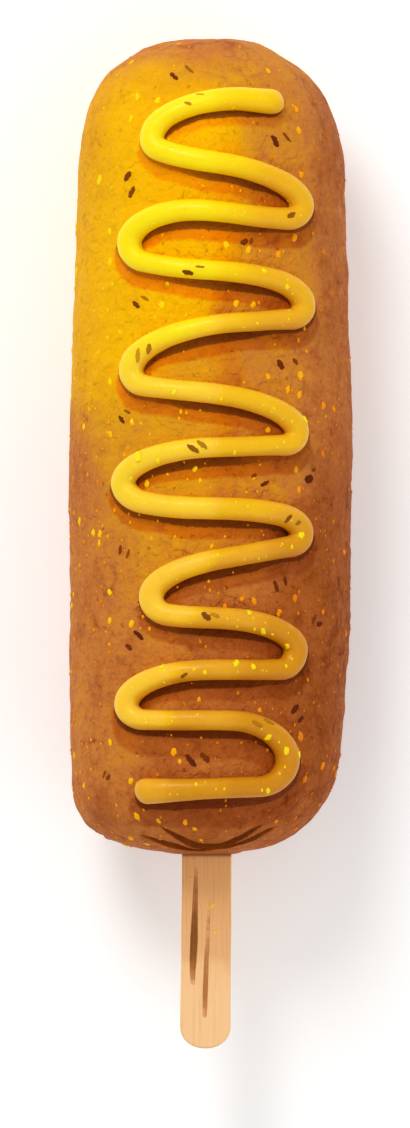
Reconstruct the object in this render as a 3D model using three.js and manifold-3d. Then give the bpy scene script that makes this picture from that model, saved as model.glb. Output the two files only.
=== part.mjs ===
// Corn dog: a fried batter body on a flat wooden stick, with one zigzag bead of mustard.
// Units are millimetres, +Z is up. It lies on its back on a small flat of the crust,
// its round tip towards +Y, its stick towards -Y, and the mustard on top.
import * as THREE from "three";
import { mergeVertices } from "three/addons/utils/BufferGeometryUtils.js";
import Module from "manifold-3d";

// ---------------------------------------------------------------- sizes
const BODY_LENGTH = 152.07; // crust, tip to butt
const AXIS_HEIGHT = 24.7; // of the sausage axis above the resting flat
const TOP_RADIUS = 25.3; // crown of the crust above the axis
const BACK_RADIUS = 25.6; // underside below the axis, before the resting flat is pressed in
const TIP = { height: 24.04, m: 1.682, n: 2.86 }; // rounding of the tip
const BUTT = { height: 23.617, m: 2.924, n: 2.909 }; // rounding of the butt, which is blunter
// Half-widths of the crust to the left and the right of the axis, at distances from the tip.
const STATIONS = [0, 2.5, 6.5, 14, 24, 44, 56, 80, 104, 121, 134, 145, 152.07];
const LEFT = [24.17, 24.17, 25.96, 25.28, 24.55, 25.23, 25.61, 26.31, 26.13, 26.27, 26.17, 28.36, 29.93];
const RIGHT = [22.11, 22.28, 24.33, 25.11, 25.11, 25.71, 26.15, 26.41, 26.33, 25.46, 24.51, 23.2, 20.82];
const LUMPS = { count: 16, height: 0.42, spread: 8.5 }; // low swellings where the batter ran thick

const RING = 48; // points round the crust
const END_RINGS = 13; // rings in each rounded end
const MID_RINGS = 27; // rings along the barrel

const STICK = {
  length: 114, // flat craft stick
  thickness: 2.0,
  width: 9.2, // where it leaves the crust
  endWidth: 9.5, // widest place, near its free end
  centre: -0.62, // its middle beside the crust axis, at the crust
  endCentre: -0.84, // and near its free end
  shown: 36.6, // bare length below the crust
  endRound: 4.2, // length of the rounded end
  edge: 0.3, // broken edge
};
const CLEARANCE = 0.3; // between pieces that touch

const BEAD = {
  halfWidth: 2.2,
  height: 3.25,
  belly: 1.3, // height of its widest place
  foot: 1.75, // half width of its foot
};
// The bead's turns from tip to butt. at: the outermost point of the turn, across and from the tip.
// out and into: across and lengthwise reach of the two quarter turns, leaving it and arriving at the next one.
// lean: slope of the run between them.
const TURNS = [
  { at: [-10.99, 19.0], out: [2.37, 2.37], into: [24.22, 8.28], lean: 0.363 },
  { at: [17.32, 31.67], out: [2.36, 2.36], into: [11.97, 6.1], lean: 0.0 },
  { at: [-15.27, 38.56], out: [3.18, 3.49], into: [9.84, 5.5], lean: 0.263 },
  { at: [17.7, 50.29], out: [2.36, 2.36], into: [24.22, 9.05], lean: 0.04 },
  { at: [-14.9, 62.22], out: [2.75, 2.8], into: [24.22, 7.72], lean: 0.185 },
  { at: [16.39, 73.76], out: [2.36, 2.36], into: [18.08, 6.54], lean: 0.017 },
  { at: [-16.39, 83.08], out: [5.2, 3.79], into: [6.06, 3.79], lean: 0.22 },
  { at: [17.23, 92.58], out: [2.36, 2.36], into: [24.19, 8.01], lean: 0.164 },
  { at: [-11.08, 104.31], out: [3.8, 3.34], into: [14.75, 5.91], lean: 0.132 },
  { at: [16.21, 114.19], out: [2.91, 3.57], into: [15.5, 6.44], lean: 0.032 },
  { at: [-15.74, 124.25], out: [3.36, 2.82], into: [11.07, 7.46], lean: 0.038 },
  { at: [14.72, 134.68] },
];
const FIRST_RUN = { across: 16.58, along: 7.45, start: [11.45, 12.05] }; // quarter turn into the first bend
const LAST_RUN = { across: 5.6, along: 5.0, lean: 0.055, end: [-11.74, 140.36] }; // out of the last bend

// ---------------------------------------------------------------- crust
const clamp = THREE.MathUtils.clamp;

// Monotone cubic through a table of stations.
function curveThrough(xs, ys) {
  const h = xs.slice(1).map((x, i) => x - xs[i]);
  const slope = h.map((w, i) => (ys[i + 1] - ys[i]) / w);
  const m = xs.map((_, i) => {
    if (i === 0) return slope[0];
    if (i === xs.length - 1) return slope[i - 1];
    if (slope[i - 1] * slope[i] <= 0) return 0;
    const a = 2 * h[i] + h[i - 1], b = h[i] + 2 * h[i - 1];
    return (a + b) / (a / slope[i - 1] + b / slope[i]);
  });
  return (x) => {
    let i = 0;
    while (i < xs.length - 2 && x > xs[i + 1]) i++;
    const t = clamp((x - xs[i]) / h[i], 0, 1), t2 = t * t, t3 = t2 * t;
    return (2 * t3 - 3 * t2 + 1) * ys[i] + (t3 - 2 * t2 + t) * h[i] * m[i] +
      (3 * t2 - 2 * t3) * ys[i + 1] + (t3 - t2) * h[i] * m[i + 1];
  };
}
const leftWidth = curveThrough(STATIONS, LEFT);
const rightWidth = curveThrough(STATIONS, RIGHT);

// Share of the full width at a distance from an end: nought at the end, one past its rounding.
const rounding = (d, e) => Math.pow(Math.max(1 - Math.pow(1 - clamp(d / e.height, 0, 1), e.m), 0), 1 / e.n);
// Distance from an end at which the rounding reaches a share.
const roundingAt = (share, e) => e.height * (1 - Math.pow(1 - Math.pow(share, e.n), 1 / e.m));

// Low swellings, spread round the crust by the golden angle and kept off its two outlines.
const lumps = Array.from({ length: LUMPS.count }, (_, i) => ({
  d: 12 + ((i + 0.5) / LUMPS.count) * 128,
  a: (i * 2.39996 + 0.6) % (2 * Math.PI),
  h: LUMPS.height * (i % 3 === 1 ? -0.7 : 1) * (0.75 + 0.25 * Math.cos(i * 1.7)),
}));
function swelling(a, d) {
  let sum = 0;
  for (const l of lumps) {
    let da = Math.abs(a - l.a) % (2 * Math.PI);
    da = Math.min(da, 2 * Math.PI - da) * TOP_RADIUS;
    const dd = d - l.d;
    sum += l.h * Math.exp(-(da * da + dd * dd) / (2 * LUMPS.spread * LUMPS.spread));
  }
  const s = Math.sin(a);
  return sum * s * s * (s < 0 ? 0.45 : 1);
}

// Radii of the crust's section towards its left, right, crown and back at a distance from the tip.
function section(d) {
  const e = rounding(d, TIP) * rounding(BODY_LENGTH - d, BUTT);
  return {
    l: leftWidth(d) * e,
    r: rightWidth(d) * e,
    t: (TOP_RADIUS + 0.35 * Math.sin(d / 9.7 + 0.7) + 0.2 * Math.sin(d / 5.9 + 2.1)) * e,
    b: (BACK_RADIUS + 0.25 * Math.sin(d / 8.4 + 1.9)) * e,
    e,
  };
}
const yOf = (d) => BODY_LENGTH / 2 - d;

// Point of the crust at an angle round the axis (0 right, a quarter turn the crown).
function crustPoint(a, d) {
  const s = section(d), w = swelling(a, d) * s.e;
  const across = (s.l + s.r) / 2 + w, up = (s.t + s.b) / 2 + w;
  return new THREE.Vector3(
    (s.r - s.l) / 2 + across * Math.cos(a),
    yOf(d),
    Math.max(AXIS_HEIGHT + (s.t - s.b) / 2 + up * Math.sin(a), 0),
  );
}

function closedLoft(rings, start, end) {
  const n = rings[0].length, pos = [], tri = [];
  rings.forEach((r) => r.forEach((p) => pos.push(p.x, p.y, p.z)));
  for (let k = 0; k + 1 < rings.length; k++)
    for (let i = 0; i < n; i++) {
      const a = k * n + i, b = k * n + ((i + 1) % n), c = a + n, d = b + n;
      tri.push(a, b, d, a, d, c);
    }
  const s = pos.length / 3, e = s + 1, last = (rings.length - 1) * n;
  pos.push(start.x, start.y, start.z, end.x, end.y, end.z);
  for (let i = 0; i < n; i++) {
    tri.push(s, (i + 1) % n, i);
    tri.push(e, last + i, last + ((i + 1) % n));
  }
  const g = new THREE.BufferGeometry();
  g.setAttribute("position", new THREE.Float32BufferAttribute(pos, 3));
  g.setIndex(tri);
  return g;
}

function crustGeometry() {
  const ds = [];
  for (let k = 1; k <= END_RINGS; k++) ds.push(roundingAt(Math.sin((k / (END_RINGS + 1)) * Math.PI / 2), TIP));
  for (let k = 0; k <= MID_RINGS; k++)
    ds.push(THREE.MathUtils.lerp(TIP.height, BODY_LENGTH - BUTT.height, k / MID_RINGS));
  for (let k = END_RINGS; k >= 1; k--)
    ds.push(BODY_LENGTH - roundingAt(Math.sin((k / (END_RINGS + 1)) * Math.PI / 2), BUTT));
  const rings = ds.map((d) =>
    Array.from({ length: RING }, (_, i) => crustPoint((i / RING) * 2 * Math.PI, d)));
  const pole = (d) => new THREE.Vector3(0, yOf(d), AXIS_HEIGHT);
  return closedLoft(rings, pole(0), pole(BODY_LENGTH));
}

// ---------------------------------------------------------------- stick
// Half width of the stick and its middle, at a distance below the crust (negative inside it).
const alongShown = (v) => clamp(v / (STICK.shown - STICK.endRound), 0, 1);
const stickHalf = (v) => THREE.MathUtils.lerp(STICK.width, STICK.endWidth, alongShown(v) ** 1.6) / 2;
const stickCentre = (v) => THREE.MathUtils.lerp(STICK.centre, STICK.endCentre, alongShown(v));

// Outline of the stick, grown by a margin, from its hidden round end to its free one.
function stickOutline(margin, from, to) {
  const steps = 22, side = [];
  for (let k = 0; k <= steps; k++) {
    const u = k / steps;
    // points gather in the two rounded ends
    const v = from + (to - from) * (u < 0.35 ? 0.04 * (1 - Math.cos((u / 0.35) * Math.PI / 2)) :
      u > 0.65 ? 1 - 0.04 * (1 - Math.cos(((1 - u) / 0.35) * Math.PI / 2)) :
      0.04 + 0.92 * ((u - 0.35) / 0.3));
    const near = Math.min(v - from, to - v);
    const q = 1 - clamp(near / STICK.endRound, 0, 1);
    const round = Math.pow(Math.max(1 - Math.pow(q, 2.2), 0), 1 / 2.1);
    side.push([v, (stickHalf(v) + margin) * round]);
  }
  const pts = side.map(([v, w]) => new THREE.Vector2(stickCentre(v) + w, yOf(BODY_LENGTH + v)));
  for (const [v, w] of side.slice(1, -1).reverse())
    pts.push(new THREE.Vector2(stickCentre(v) - w, yOf(BODY_LENGTH + v)));
  return new THREE.Shape(pts);
}
function flatBoard(margin, from, to, thickness, edge) {
  const g = new THREE.ExtrudeGeometry(stickOutline(margin, from, to), {
    depth: thickness - 2 * edge,
    bevelEnabled: edge > 0,
    bevelThickness: edge,
    bevelSize: edge,
    bevelOffset: -edge,
    bevelSegments: 2,
    curveSegments: 1,
  });
  return g.translate(0, 0, AXIS_HEIGHT - (thickness - 2 * edge) / 2);
}

// ---------------------------------------------------------------- mustard bead
// Quarter of an ellipse that leaves a turn's outermost point, cut where it reaches the run's slope.
function quarterTurn(at, side, across, along, way, lean, n) {
  const stop = Math.atan2(along, across * Math.max(lean, 1e-6));
  return Array.from({ length: n + 1 }, (_, i) => {
    const t = (i / n) * stop;
    return [at[0] + side * across * (1 - Math.cos(t)), at[1] + way * along * Math.sin(t)];
  });
}
function run(p0, p3, side, lean, n) {
  const dx = Math.abs(p3[0] - p0[0]) * 0.35, c0 = [p0[0] + side * dx, p0[1] + dx * lean],
    c1 = [p3[0] - side * dx, p3[1] - dx * lean];
  return Array.from({ length: n - 1 }, (_, i) => {
    const t = (i + 1) / n, s = 1 - t;
    return [0, 1].map((k) => s * s * s * p0[k] + 3 * s * s * t * c0[k] + 3 * s * t * t * c1[k] + t * t * t * p3[k]);
  });
}
// Plan of the bead's middle line, as seen from above: [across, distance from the tip].
function beadPlan() {
  const first = TURNS[0].at, path = [FIRST_RUN.start];
  path.push(...quarterTurn(first, 1, FIRST_RUN.across, FIRST_RUN.along, -1, 0, 20).reverse()
    .filter((p) => p[0] < FIRST_RUN.start[0] - 4));
  for (let i = 0; i + 1 < TURNS.length; i++) {
    const a = TURNS[i], b = TURNS[i + 1], side = Math.sign(b.at[0] - a.at[0]);
    const leave = quarterTurn(a.at, side, a.out[0], a.out[1], 1, a.lean, 16);
    const arrive = quarterTurn(b.at, -side, a.into[0], a.into[1], -1, a.lean, 22).reverse();
    path.push(...leave.slice(1), ...run(leave.at(-1), arrive[0], side, a.lean, 24), ...arrive);
  }
  const last = TURNS.at(-1).at;
  const leave = quarterTurn(last, -1, LAST_RUN.across, LAST_RUN.along, 1, LAST_RUN.lean, 16);
  path.push(...leave.slice(1), ...run(leave.at(-1), LAST_RUN.end, -1, LAST_RUN.lean * 0.3, 24), LAST_RUN.end);
  return path;
}

// Height of the crust's upper side above a plan point, by Newton's rule on the angle.
function crown(x, d) {
  let a = Math.acos(clamp(x / 26, -0.98, 0.98));
  for (let k = 0; k < 12; k++) {
    const p = crustPoint(a, d).x, q = crustPoint(a + 1e-4, d).x;
    a = clamp(a - (p - x) / ((q - p) / 1e-4), 0.05, Math.PI - 0.05);
  }
  return crustPoint(a, d).z;
}
const onCrust = (x, d) => new THREE.Vector3(x, yOf(d), crown(x, d));
function outward(x, d) {
  const h = 0.05;
  return new THREE.Vector3(
    -(crown(x + h, d) - crown(x - h, d)) / (2 * h),
    (crown(x, d + h) - crown(x, d - h)) / (2 * h),
    1,
  ).normalize();
}

// The bead's foot runs where its middle, halfway up, stands over the plan line.
function beadFoot() {
  return beadPlan().map(([x, d]) => {
    let p = [x, d];
    for (let k = 0; k < 4; k++) {
      const n = outward(p[0], p[1]).multiplyScalar(CLEARANCE + BEAD.height / 2);
      p = [x - n.x, d + n.y];
    }
    return p;
  });
}

// Points along the foot, a step apart where it runs straight and closer in its bends.
function spaced(path) {
  const line = new THREE.CatmullRomCurve3(path.map(([x, d]) => new THREE.Vector3(x, -d, 0)), false, "centripetal");
  const fine = line.getSpacedPoints(4000), out = [fine[0]];
  let gone = 0;
  for (let i = 1; i + 1 < fine.length; i++) {
    const step = fine[i].distanceTo(fine[i - 1]);
    const w = Math.min(12, i), v = Math.min(12, fine.length - 1 - i), m = Math.min(w, v);
    const t0 = fine[i].clone().sub(fine[i - m]), t1 = fine[i + m].clone().sub(fine[i]);
    const bend = m > 0 ? t0.angleTo(t1) / Math.max(t0.length(), 1e-6) : 0;
    gone += step * Math.max(1 / 4.2, bend / 0.36); // one step for 4.2 mm or for 21 degrees of turn
    if (gone >= 1) { out.push(fine[i]); gone = 0; }
  }
  out.push(fine.at(-1));
  return out.map((p) => [p.x, -p.y]);
}

// Cross-section of the bead, foot first: across, and up from the crust.
const beadSection = () => {
  const pts = [[-BEAD.foot * 0.75, 0], [BEAD.foot * 0.75, 0], [BEAD.foot + 0.2, 0.45]];
  for (let k = 0; k <= 6; k++) {
    const a = (k / 6) * Math.PI;
    pts.push([BEAD.halfWidth * Math.cos(a), BEAD.belly + (BEAD.height - BEAD.belly) * Math.sin(a)]);
  }
  pts.push([-BEAD.foot - 0.2, 0.45]);
  return pts;
};

function beadGeometry() {
  const foot = spaced(beadFoot()), shape = beadSection();
  // a round cap at each end: sections that shrink over the bead's half width
  const stations = [];
  const unit = (p, q) => { const l = Math.hypot(q[0] - p[0], q[1] - p[1]); return [(q[0] - p[0]) / l, (q[1] - p[1]) / l]; };
  const t0 = unit(foot[0], foot[1]), t1 = unit(foot.at(-2), foot.at(-1));
  for (let k = 3; k >= 1; k--) {
    const s = Math.sin((k / 4) * Math.PI / 2) * BEAD.halfWidth;
    stations.push({ p: [foot[0][0] - t0[0] * s, foot[0][1] - t0[1] * s], t: t0, w: Math.cos((k / 4) * Math.PI / 2) });
  }
  foot.forEach((p, i) => stations.push({ p, t: unit(foot[Math.max(i - 1, 0)], foot[Math.min(i + 1, foot.length - 1)]), w: 1 }));
  for (let k = 1; k <= 3; k++) {
    const s = Math.sin((k / 4) * Math.PI / 2) * BEAD.halfWidth;
    stations.push({ p: [foot.at(-1)[0] + t1[0] * s, foot.at(-1)[1] + t1[1] * s], t: t1, w: Math.cos((k / 4) * Math.PI / 2) });
  }
  const place = (p, side, [u, v], w) => {
    // across the crust, so that the bead keeps its width where the crust falls away
    const n0 = outward(p[0], p[1]);
    const along = new THREE.Vector3(-side[1], side[0], 0);
    const across = new THREE.Vector3().crossVectors(along, n0);
    const dir = new THREE.Vector3(side[0], side[1], 0).projectOnPlane(n0);
    if (across.dot(dir) < 0) across.negate();
    across.normalize();
    const x = p[0] + across.x * u * w, d = p[1] - across.y * u * w;
    return onCrust(x, d).addScaledVector(outward(x, d), CLEARANCE + v * w);
  };
  const rings = stations.map(({ p, t, w }) => {
    const side = [-t[1], -t[0]]; // across the path, in x and y
    return shape.map((q) => place(p, side, q, w));
  });
  const tip = (p, t) => onCrust(p[0] + t[0] * BEAD.halfWidth, p[1] + t[1] * BEAD.halfWidth)
    .addScaledVector(outward(p[0], p[1]), CLEARANCE + 0.35);
  return closedLoft(rings, tip(foot[0], [-t0[0], -t0[1]]), tip(foot.at(-1), t1));
}

// ---------------------------------------------------------------- joining and cutting
const wasm = await Module();
wasm.setup();
function toSolid(geometry) {
  const g = geometry.clone();
  g.deleteAttribute("normal");
  g.deleteAttribute("uv");
  const m = mergeVertices(g, 1e-4);
  return new wasm.Manifold(new wasm.Mesh({
    numProp: 3,
    vertProperties: new Float32Array(m.attributes.position.array),
    triVerts: new Uint32Array(m.index.array),
  }));
}
function outwardFacing(geometry) {
  if (toSolid(geometry).volume() > 0) return geometry;
  const i = geometry.index.array;
  for (let k = 0; k < i.length; k += 3) [i[k + 1], i[k + 2]] = [i[k + 2], i[k + 1]];
  return geometry;
}
function toGeometry(solid) {
  const m = solid.getMesh(), g = new THREE.BufferGeometry(), pos = new Float32Array(m.numVert * 3);
  for (let i = 0; i < m.numVert; i++)
    pos.set(m.vertProperties.subarray(i * m.numProp, i * m.numProp + 3), i * 3);
  g.setAttribute("position", new THREE.BufferAttribute(pos, 3));
  g.setIndex(new THREE.BufferAttribute(new Uint32Array(m.triVerts), 1));
  g.computeVertexNormals();
  return g;
}

// The crust is fried on the stick: the stick runs inside it in a pocket of its own shape.
const hidden = STICK.length - STICK.shown;
const pocket = toSolid(flatBoard(CLEARANCE, -hidden - CLEARANCE, 8, STICK.thickness + 2 * CLEARANCE, 0));
const crust = toSolid(outwardFacing(crustGeometry())).subtract(pocket);

// ---------------------------------------------------------------- the scene
const corndog = new THREE.Group();
corndog.name = "corn_dog";
function add(name, geometry, material) {
  const mesh = new THREE.Mesh(geometry, new THREE.MeshStandardMaterial(material));
  mesh.name = name;
  corndog.add(mesh);
  return mesh;
}
add("batter", toGeometry(crust), { color: 0xc07a24, roughness: 0.62, metalness: 0 });
add("mustard", toGeometry(toSolid(outwardFacing(beadGeometry()))), { color: 0xf6c81e, roughness: 0.3, metalness: 0 });
add("stick", toGeometry(toSolid(flatBoard(0, -hidden, STICK.shown, STICK.thickness, STICK.edge))),
  { color: 0xf0bd82, roughness: 0.75, metalness: 0 });

// The origin is the middle of the bottom of the whole.
const box = new THREE.Box3().setFromObject(corndog);
const middle = box.getCenter(new THREE.Vector3());
corndog.position.set(-middle.x, -middle.y, -box.min.z);
corndog.updateMatrixWorld(true);

export default corndog;
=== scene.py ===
"""Looks of the corn dog: fried crust, mustard bead, flat stick, coarse cornmeal and toasted flakes.

Lengths in the helpers are millimetres in the crust's own frame: x across from the axis, d from the round tip, z up from the floor.
put() turns them into metres in the frame of the CAD.
"""
import math

import bpy
import numpy as np
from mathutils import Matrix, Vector
from mathutils.bvhtree import BVHTree
from mathutils.kdtree import KDTree


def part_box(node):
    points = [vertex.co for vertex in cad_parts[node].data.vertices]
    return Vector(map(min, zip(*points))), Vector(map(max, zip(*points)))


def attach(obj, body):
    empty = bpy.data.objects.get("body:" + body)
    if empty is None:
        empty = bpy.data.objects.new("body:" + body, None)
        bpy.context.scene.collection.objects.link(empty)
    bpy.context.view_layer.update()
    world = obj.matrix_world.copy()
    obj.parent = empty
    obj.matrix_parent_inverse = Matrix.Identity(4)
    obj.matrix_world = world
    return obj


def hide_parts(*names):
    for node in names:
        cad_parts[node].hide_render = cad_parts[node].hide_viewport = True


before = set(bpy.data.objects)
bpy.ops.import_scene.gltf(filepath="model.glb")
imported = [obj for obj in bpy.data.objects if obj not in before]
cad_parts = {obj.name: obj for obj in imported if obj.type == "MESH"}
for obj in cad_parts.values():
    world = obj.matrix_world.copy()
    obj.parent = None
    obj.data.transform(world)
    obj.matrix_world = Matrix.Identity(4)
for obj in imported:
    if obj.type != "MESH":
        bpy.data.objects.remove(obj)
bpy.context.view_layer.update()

MM = 0.001
BATTER_LO, BATTER_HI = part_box("batter")
scene = bpy.context.scene

# ------------------------------------------------------------------ crust form, as in the CAD
BODY_LENGTH = 152.07
AXIS_HEIGHT = 24.7
TOP_RADIUS = 25.3
BACK_RADIUS = 25.6
TIP = (24.04, 1.682, 2.86)
BUTT = (23.617, 2.924, 2.909)
STATIONS = [0, 2.5, 6.5, 14, 24, 44, 56, 80, 104, 121, 134, 145, 152.07]
LEFT = [24.17, 24.17, 25.96, 25.28, 24.55, 25.23, 25.61, 26.31, 26.13, 26.27, 26.17, 28.36, 29.93]
RIGHT = [22.11, 22.28, 24.33, 25.11, 25.11, 25.71, 26.15, 26.41, 26.33, 25.46, 24.51, 23.2, 20.82]
LUMP_COUNT, LUMP_HEIGHT, LUMP_SPREAD = 16, 0.42, 8.5

STICK = dict(length=114.0, thickness=2.0, width=9.2, end_width=9.5, centre=-0.62, end_centre=-0.84,
             shown=36.6, end_round=4.2, edge=0.45)
BEAD = dict(half=2.2, height=3.25, belly=1.3, foot=1.75)
CLEARANCE = 0.3
TURNS = [
    ((-10.99, 19.0), (2.37, 2.37), (24.22, 8.28), 0.363),
    ((17.32, 31.67), (2.36, 2.36), (11.97, 6.1), 0.0),
    ((-15.27, 38.56), (3.18, 3.49), (9.84, 5.5), 0.263),
    ((17.7, 50.29), (2.36, 2.36), (24.22, 9.05), 0.04),
    ((-14.9, 62.22), (2.75, 2.8), (24.22, 7.72), 0.185),
    ((16.39, 73.76), (2.36, 2.36), (18.08, 6.54), 0.017),
    ((-16.39, 83.08), (5.2, 3.79), (6.06, 3.79), 0.22),
    ((17.23, 92.58), (2.36, 2.36), (24.19, 8.01), 0.164),
    ((-11.08, 104.31), (3.8, 3.34), (14.75, 5.91), 0.132),
    ((16.21, 114.19), (2.91, 3.57), (15.5, 6.44), 0.032),
    ((-15.74, 124.25), (3.36, 2.82), (11.07, 7.46), 0.038),
    ((14.72, 134.68), None, None, None),
]
FIRST_RUN = dict(across=16.58, along=7.45, start=(11.45, 12.05))
LAST_RUN = dict(across=5.6, along=5.0, lean=0.055, end=(-11.74, 140.36))


def curve_through(xs, ys):
    """Monotone cubic through a table of stations, the same one as in the CAD."""
    xs, ys = np.array(xs, float), np.array(ys, float)
    h = np.diff(xs)
    slope = np.diff(ys) / h
    m = np.zeros_like(xs)
    m[0], m[-1] = slope[0], slope[-1]
    for i in range(1, len(xs) - 1):
        if slope[i - 1] * slope[i] > 0:
            a, b = 2 * h[i] + h[i - 1], h[i] + 2 * h[i - 1]
            m[i] = (a + b) / (a / slope[i - 1] + b / slope[i])

    def at(x):
        x = np.asarray(x, float)
        i = np.clip(np.searchsorted(xs, x, side="right") - 1, 0, len(xs) - 2)
        t = np.clip((x - xs[i]) / h[i], 0, 1)
        t2, t3 = t * t, t * t * t
        return ((2 * t3 - 3 * t2 + 1) * ys[i] + (t3 - 2 * t2 + t) * h[i] * m[i]
                + (3 * t2 - 2 * t3) * ys[i + 1] + (t3 - t2) * h[i] * m[i + 1])
    return at


left_width, right_width = curve_through(STATIONS, LEFT), curve_through(STATIONS, RIGHT)


def rounding(d, e):
    return np.maximum(1 - (1 - np.clip(d / e[0], 0, 1)) ** e[1], 0) ** (1 / e[2])


def rounding_at(share, e):
    return e[0] * (1 - (1 - np.asarray(share, float) ** e[2]) ** (1 / e[1]))


_k = np.arange(LUMP_COUNT)
LUMP_D = 12 + ((_k + 0.5) / LUMP_COUNT) * 128
LUMP_A = (_k * 2.39996 + 0.6) % (2 * math.pi)
LUMP_H = LUMP_HEIGHT * np.where(_k % 3 == 1, -0.7, 1) * (0.75 + 0.25 * np.cos(_k * 1.7))


def swelling(a, d):
    total = np.zeros(np.broadcast(a, d).shape)
    for ld, la, lh in zip(LUMP_D, LUMP_A, LUMP_H):
        da = np.abs(a - la) % (2 * math.pi)
        da = np.minimum(da, 2 * math.pi - da) * TOP_RADIUS
        total = total + lh * np.exp(-(da * da + (d - ld) ** 2) / (2 * LUMP_SPREAD ** 2))
    s = np.sin(a)
    return total * s * s * np.where(s < 0, 0.45, 1)


def section(d):
    e = rounding(d, TIP) * rounding(BODY_LENGTH - d, BUTT)
    top = TOP_RADIUS + 0.35 * np.sin(d / 9.7 + 0.7) + 0.2 * np.sin(d / 5.9 + 2.1)
    back = BACK_RADIUS + 0.25 * np.sin(d / 8.4 + 1.9)
    return left_width(d) * e, right_width(d) * e, top * e, back * e, e


def base_point(a, d):
    """(x, d, z) of the plain crust, before its resting flat is pressed in."""
    left, right, top, back, e = section(d)
    w = swelling(a, d) * e
    x = (right - left) / 2 + ((left + right) / 2 + w) * np.cos(a)
    z = AXIS_HEIGHT + (top - back) / 2 + ((top + back) / 2 + w) * np.sin(a)
    return np.stack(np.broadcast_arrays(x, d, z), -1)


# Where the crust's own frame lies in the frame of the CAD.
_dd = np.linspace(20, 140, 1201)
AXIS_X = BATTER_LO.x / MM + float((left_width(_dd) * rounding(_dd, TIP) * rounding(BODY_LENGTH - _dd, BUTT)).max())
TIP_Y = BATTER_HI.y / MM


def put(p):
    """Crust frame in mm to the frame of the CAD in metres."""
    p = np.asarray(p, float)
    return np.stack([(p[..., 0] + AXIS_X) * MM, (TIP_Y - p[..., 1]) * MM, p[..., 2] * MM], -1)


def put_direction(v):
    v = np.asarray(v, float)
    return np.stack([v[..., 0], -v[..., 1], v[..., 2]], -1)


def unit(v):
    return v / np.maximum(np.linalg.norm(v, axis=-1, keepdims=True), 1e-12)


def base_normal(a, d):
    """Outward normal of the plain crust, in the crust frame."""
    ha, hd = 2e-3, 0.05
    d = np.clip(d, 0.12, BODY_LENGTH - 0.12)
    pa = base_point(a + ha, d) - base_point(a - ha, d)
    pd = base_point(a, d + hd) - base_point(a, d - hd)
    n = unit(np.cross(pd, pa))
    c = base_point(a, d)
    out = c - np.stack(np.broadcast_arrays(0.0 * a, np.clip(d, 24, BODY_LENGTH - 24), AXIS_HEIGHT + 0.0 * a), -1)
    return n * np.sign((n * out).sum(-1, keepdims=True))


# ------------------------------------------------------------------ noise
class Noise:
    """Seeded gradient noise in space, about -1 to 1."""

    def __init__(self, seed):
        rng = np.random.default_rng(seed)
        self.perm = np.tile(rng.permutation(256), 3)
        self.grad = unit(rng.normal(size=(256, 3)))

    def __call__(self, p, size):
        p = np.asarray(p, float) / size
        i = np.floor(p).astype(int)
        f = p - i
        i &= 255
        u = f * f * f * (f * (f * 6 - 15) + 10)
        total = 0.0
        for cx in (0, 1):
            for cy in (0, 1):
                for cz in (0, 1):
                    h = self.perm[self.perm[self.perm[i[..., 0] + cx] + i[..., 1] + cy] + i[..., 2] + cz]
                    g = (self.grad[h] * (f - np.array([cx, cy, cz]))).sum(-1)
                    wx = u[..., 0] if cx else 1 - u[..., 0]
                    wy = u[..., 1] if cy else 1 - u[..., 1]
                    wz = u[..., 2] if cz else 1 - u[..., 2]
                    total = total + g * wx * wy * wz
        return total * 1.6


N1, N2, N3, N4, N5, N6 = (Noise(s) for s in (11, 23, 37, 41, 59, 67))


def smooth(x, lo, hi):
    t = np.clip((x - lo) / (hi - lo), 0, 1)
    return t * t * (3 - 2 * t)


def step(q):
    return 0.5 * (1 + np.tanh(q))


# ------------------------------------------------------------------ relief of the crust
rng = np.random.default_rng(20240)


def spread_on_crust(count, seed, d_lo=1.0, d_hi=BODY_LENGTH - 1.0):
    """Angles and distances from the tip of points spread evenly over the crust's area."""
    r = np.random.default_rng(seed)
    d = r.uniform(d_lo, d_hi, count * 4)
    a = r.uniform(0, 2 * math.pi, count * 4)
    e = rounding(d, TIP) * rounding(BODY_LENGTH - d, BUTT)
    # the domes slope, so a ring there holds more area than its radius says
    slope = np.abs(np.gradient(rounding(np.linspace(0, BODY_LENGTH, 800), TIP)
                               * rounding(BODY_LENGTH - np.linspace(0, BODY_LENGTH, 800), BUTT) * 25.5,
                               BODY_LENGTH / 799))
    stretch = np.sqrt(1 + np.minimum(np.interp(d, np.linspace(0, BODY_LENGTH, 800), slope), 4) ** 2)
    keep = r.uniform(0, 2.2, count * 4) < e * stretch
    return a[keep][:count], d[keep][:count]


def blister_table(count, seed, r_lo, r_hi, h_lo, h_hi):
    a, d = spread_on_crust(count, seed)
    r = np.random.default_rng(seed + 1)
    radius = r.uniform(r_lo, r_hi, len(a))
    height = r.uniform(h_lo, h_hi, len(a))
    return base_point(a, d), radius, height


BLISTERS = blister_table(560, 301, 0.8, 2.2, 0.06, 0.22)
PITS = blister_table(420, 302, 0.55, 1.15, -0.26, -0.10)


def add_spots(points, table):
    """Sum of round spots of given radius and height over the points."""
    centres, radius, height = table
    tree = KDTree(len(points))
    for i, p in enumerate(points):
        tree.insert(p, i)
    tree.balance()
    out = np.zeros(len(points))
    for c, r, h in zip(centres, radius, height):
        for _, i, dist in tree.find_range(c, r * 1.9):
            q = dist / r
            out[i] += h * math.exp(-q * q * 1.6)
    return out


def relief(p):
    """Height of the rolling relief of the crust at plain points (without blisters and pits), mm."""
    roll = 0.22 * N1(p, 15.0) + 0.17 * N2(p, 7.5)
    crumb = 0.11 * N3(p, 3.4) + 0.075 * N4(p, 1.7)
    # thick and thin places of the batter, with soft steps where it ran
    run = 0.10 * np.tanh(3.0 * N5(p * np.array([1, 0.55, 1]), 11.0))
    return roll + crumb + run


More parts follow.
